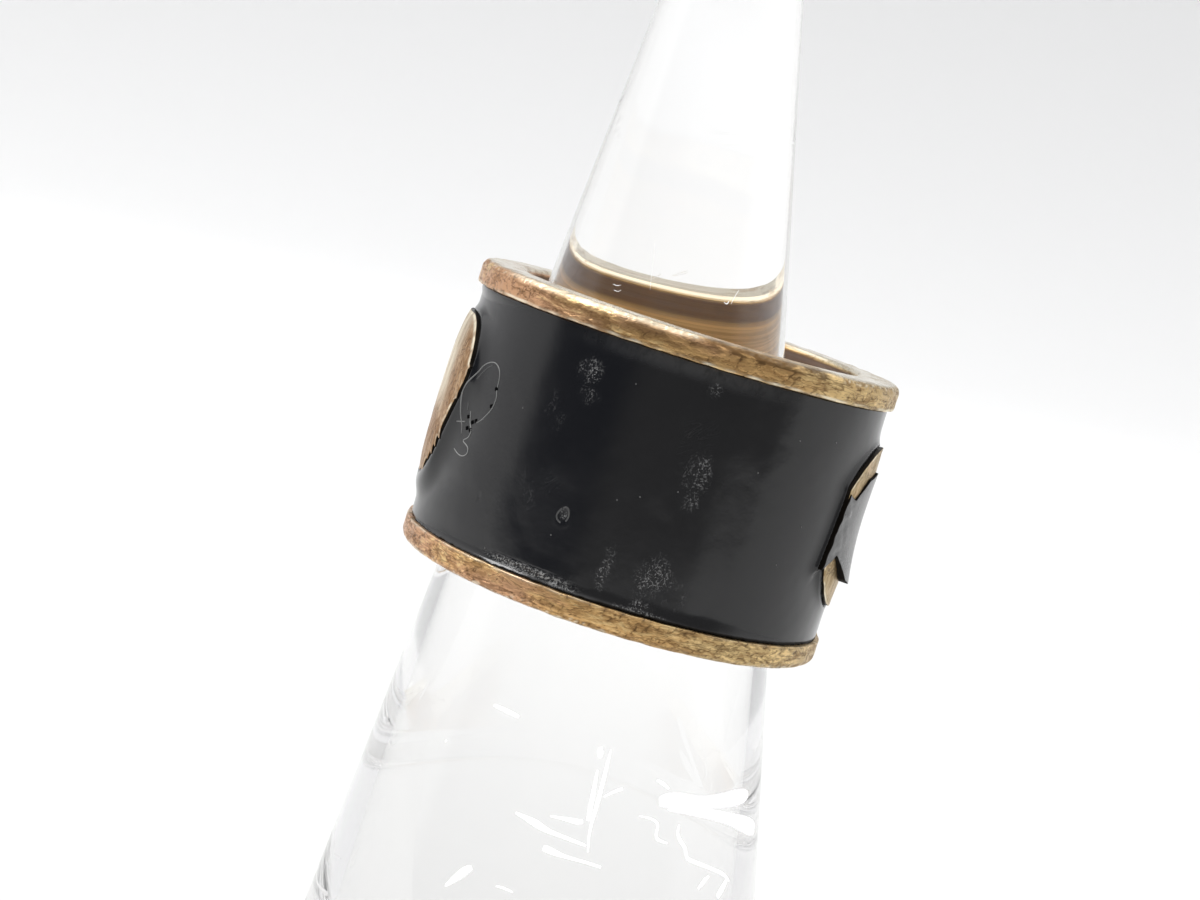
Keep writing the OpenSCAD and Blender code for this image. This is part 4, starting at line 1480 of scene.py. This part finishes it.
# Directions as angles round the upright, 0 ahead of the ring and growing to the right, in
# radians, or as heights between -1 and 1. The dim room comes in and goes between these
ROOM_LEFT, ROOM_RIGHT, ROOM_TOP = (-1.38, -1.12), (1.45, 1.10), (0.75, 0.35)
# Its darker left part, the brighter right part, and the angles where they meet
ROOM_MEET = (-0.55, -0.2)
ROOM_DARK, ROOM_PALE = (0.10, 0.115, 0.145, 1), (0.30, 0.30, 0.30, 1)
SIDE_LEFT, SIDE_RIGHT = (0.93, 0.93, 0.94, 1), (0.97, 0.97, 0.97, 1)
SKY, SEEN_WHITE = (1.45, 1.45, 1.45, 1), (0.98, 0.98, 0.98, 1)
# Share of the dim room that light through the cone doesn't meet
CONE_SPARED = 0.88


def make_world():
    """Light by direction: a bright upper half, level sides, and a dim patch to the camera's side,
    between two angles round the upright and below a height. What the camera sees is plain white.
    Light that has gone through the cone meets hardly any of the dim patch or of the bright upper
    half, as the real cone's edges stay pale but can be told from the paper."""
    world = bpy.data.worlds.new("studio")
    bpy.context.scene.world = world
    world.use_nodes = True
    tree = world.node_tree
    tree.nodes.clear()
    way = tree.nodes.new("ShaderNodeTexCoord").outputs["Generated"]
    parts = node(tree, "ShaderNodeSeparateXYZ", Vector=way).outputs
    round_angle = math_node(tree, "ARCTAN2", parts["X"], times(tree, parts["Y"], -1.0))
    left, right = spread(tree, round_angle, *ROOM_LEFT), spread(tree, round_angle, *ROOM_RIGHT)
    dim = times(tree, times(tree, left, right), spread(tree, parts["Z"], *ROOM_TOP))
    rays = tree.nodes.new("ShaderNodeLightPath").outputs
    dim = times(tree, dim, minus(tree, 1.0, times(tree, rays["Is Transmission Ray"], CONE_SPARED)))
    sideways = mix_colour(tree, spread(tree, parts["X"], -0.6, 0.6), SIDE_LEFT, SIDE_RIGHT)
    not_through = minus(tree, 1.0, rays["Is Transmission Ray"])
    above = times(tree, spread(tree, parts["Z"], 0.0, 0.9), not_through)
    bright = mix_colour(tree, above, sideways, SKY)
    room = mix_colour(tree, spread(tree, round_angle, *ROOM_MEET), ROOM_DARK, ROOM_PALE)
    light = mix_colour(tree, dim, bright, room)
    colour = mix_colour(tree, rays["Is Camera Ray"], light, SEEN_WHITE)
    background = node(tree, "ShaderNodeBackground", Color=colour, Strength=1.0)
    end = tree.nodes.new("ShaderNodeOutputWorld")
    tree.links.new(background.outputs[0], end.inputs["Surface"])


# Place and size in metres, and power in watts, of the one soft light
SOFTBOX_PLACE, SOFTBOX_SIZE, SOFTBOX_POWER = (-0.28, -0.10, 0.36), 0.16, 0.9
CONE_BOUNCES = 28


def add_softbox(name, place, target, size, power):
    """Square area light at a place, aimed at a target."""
    data = bpy.data.lights.new(name, "AREA")
    data.size, data.energy = size, power
    light = bpy.data.objects.new(name, data)
    bpy.context.scene.collection.objects.link(light)
    light.location = place
    light.rotation_mode = "QUATERNION"
    light.rotation_quaternion = (Vector(target) - Vector(place)).to_track_quat("-Z", "Y")


backdrop = make_backdrop()
backdrop.data.materials.append(make_paper())
make_world()
add_softbox("upper_left", SOFTBOX_PLACE, tuple(RING_CENTRE * MM), SOFTBOX_SIZE, SOFTBOX_POWER)
scene = bpy.context.scene
scene.view_settings.view_transform = "Standard"
# Light goes round many times inside the clear cone before it leaves
scene.cycles.max_bounces = CONE_BOUNCES
scene.cycles.glossy_bounces = CONE_BOUNCES
scene.cycles.transmission_bounces = CONE_BOUNCES
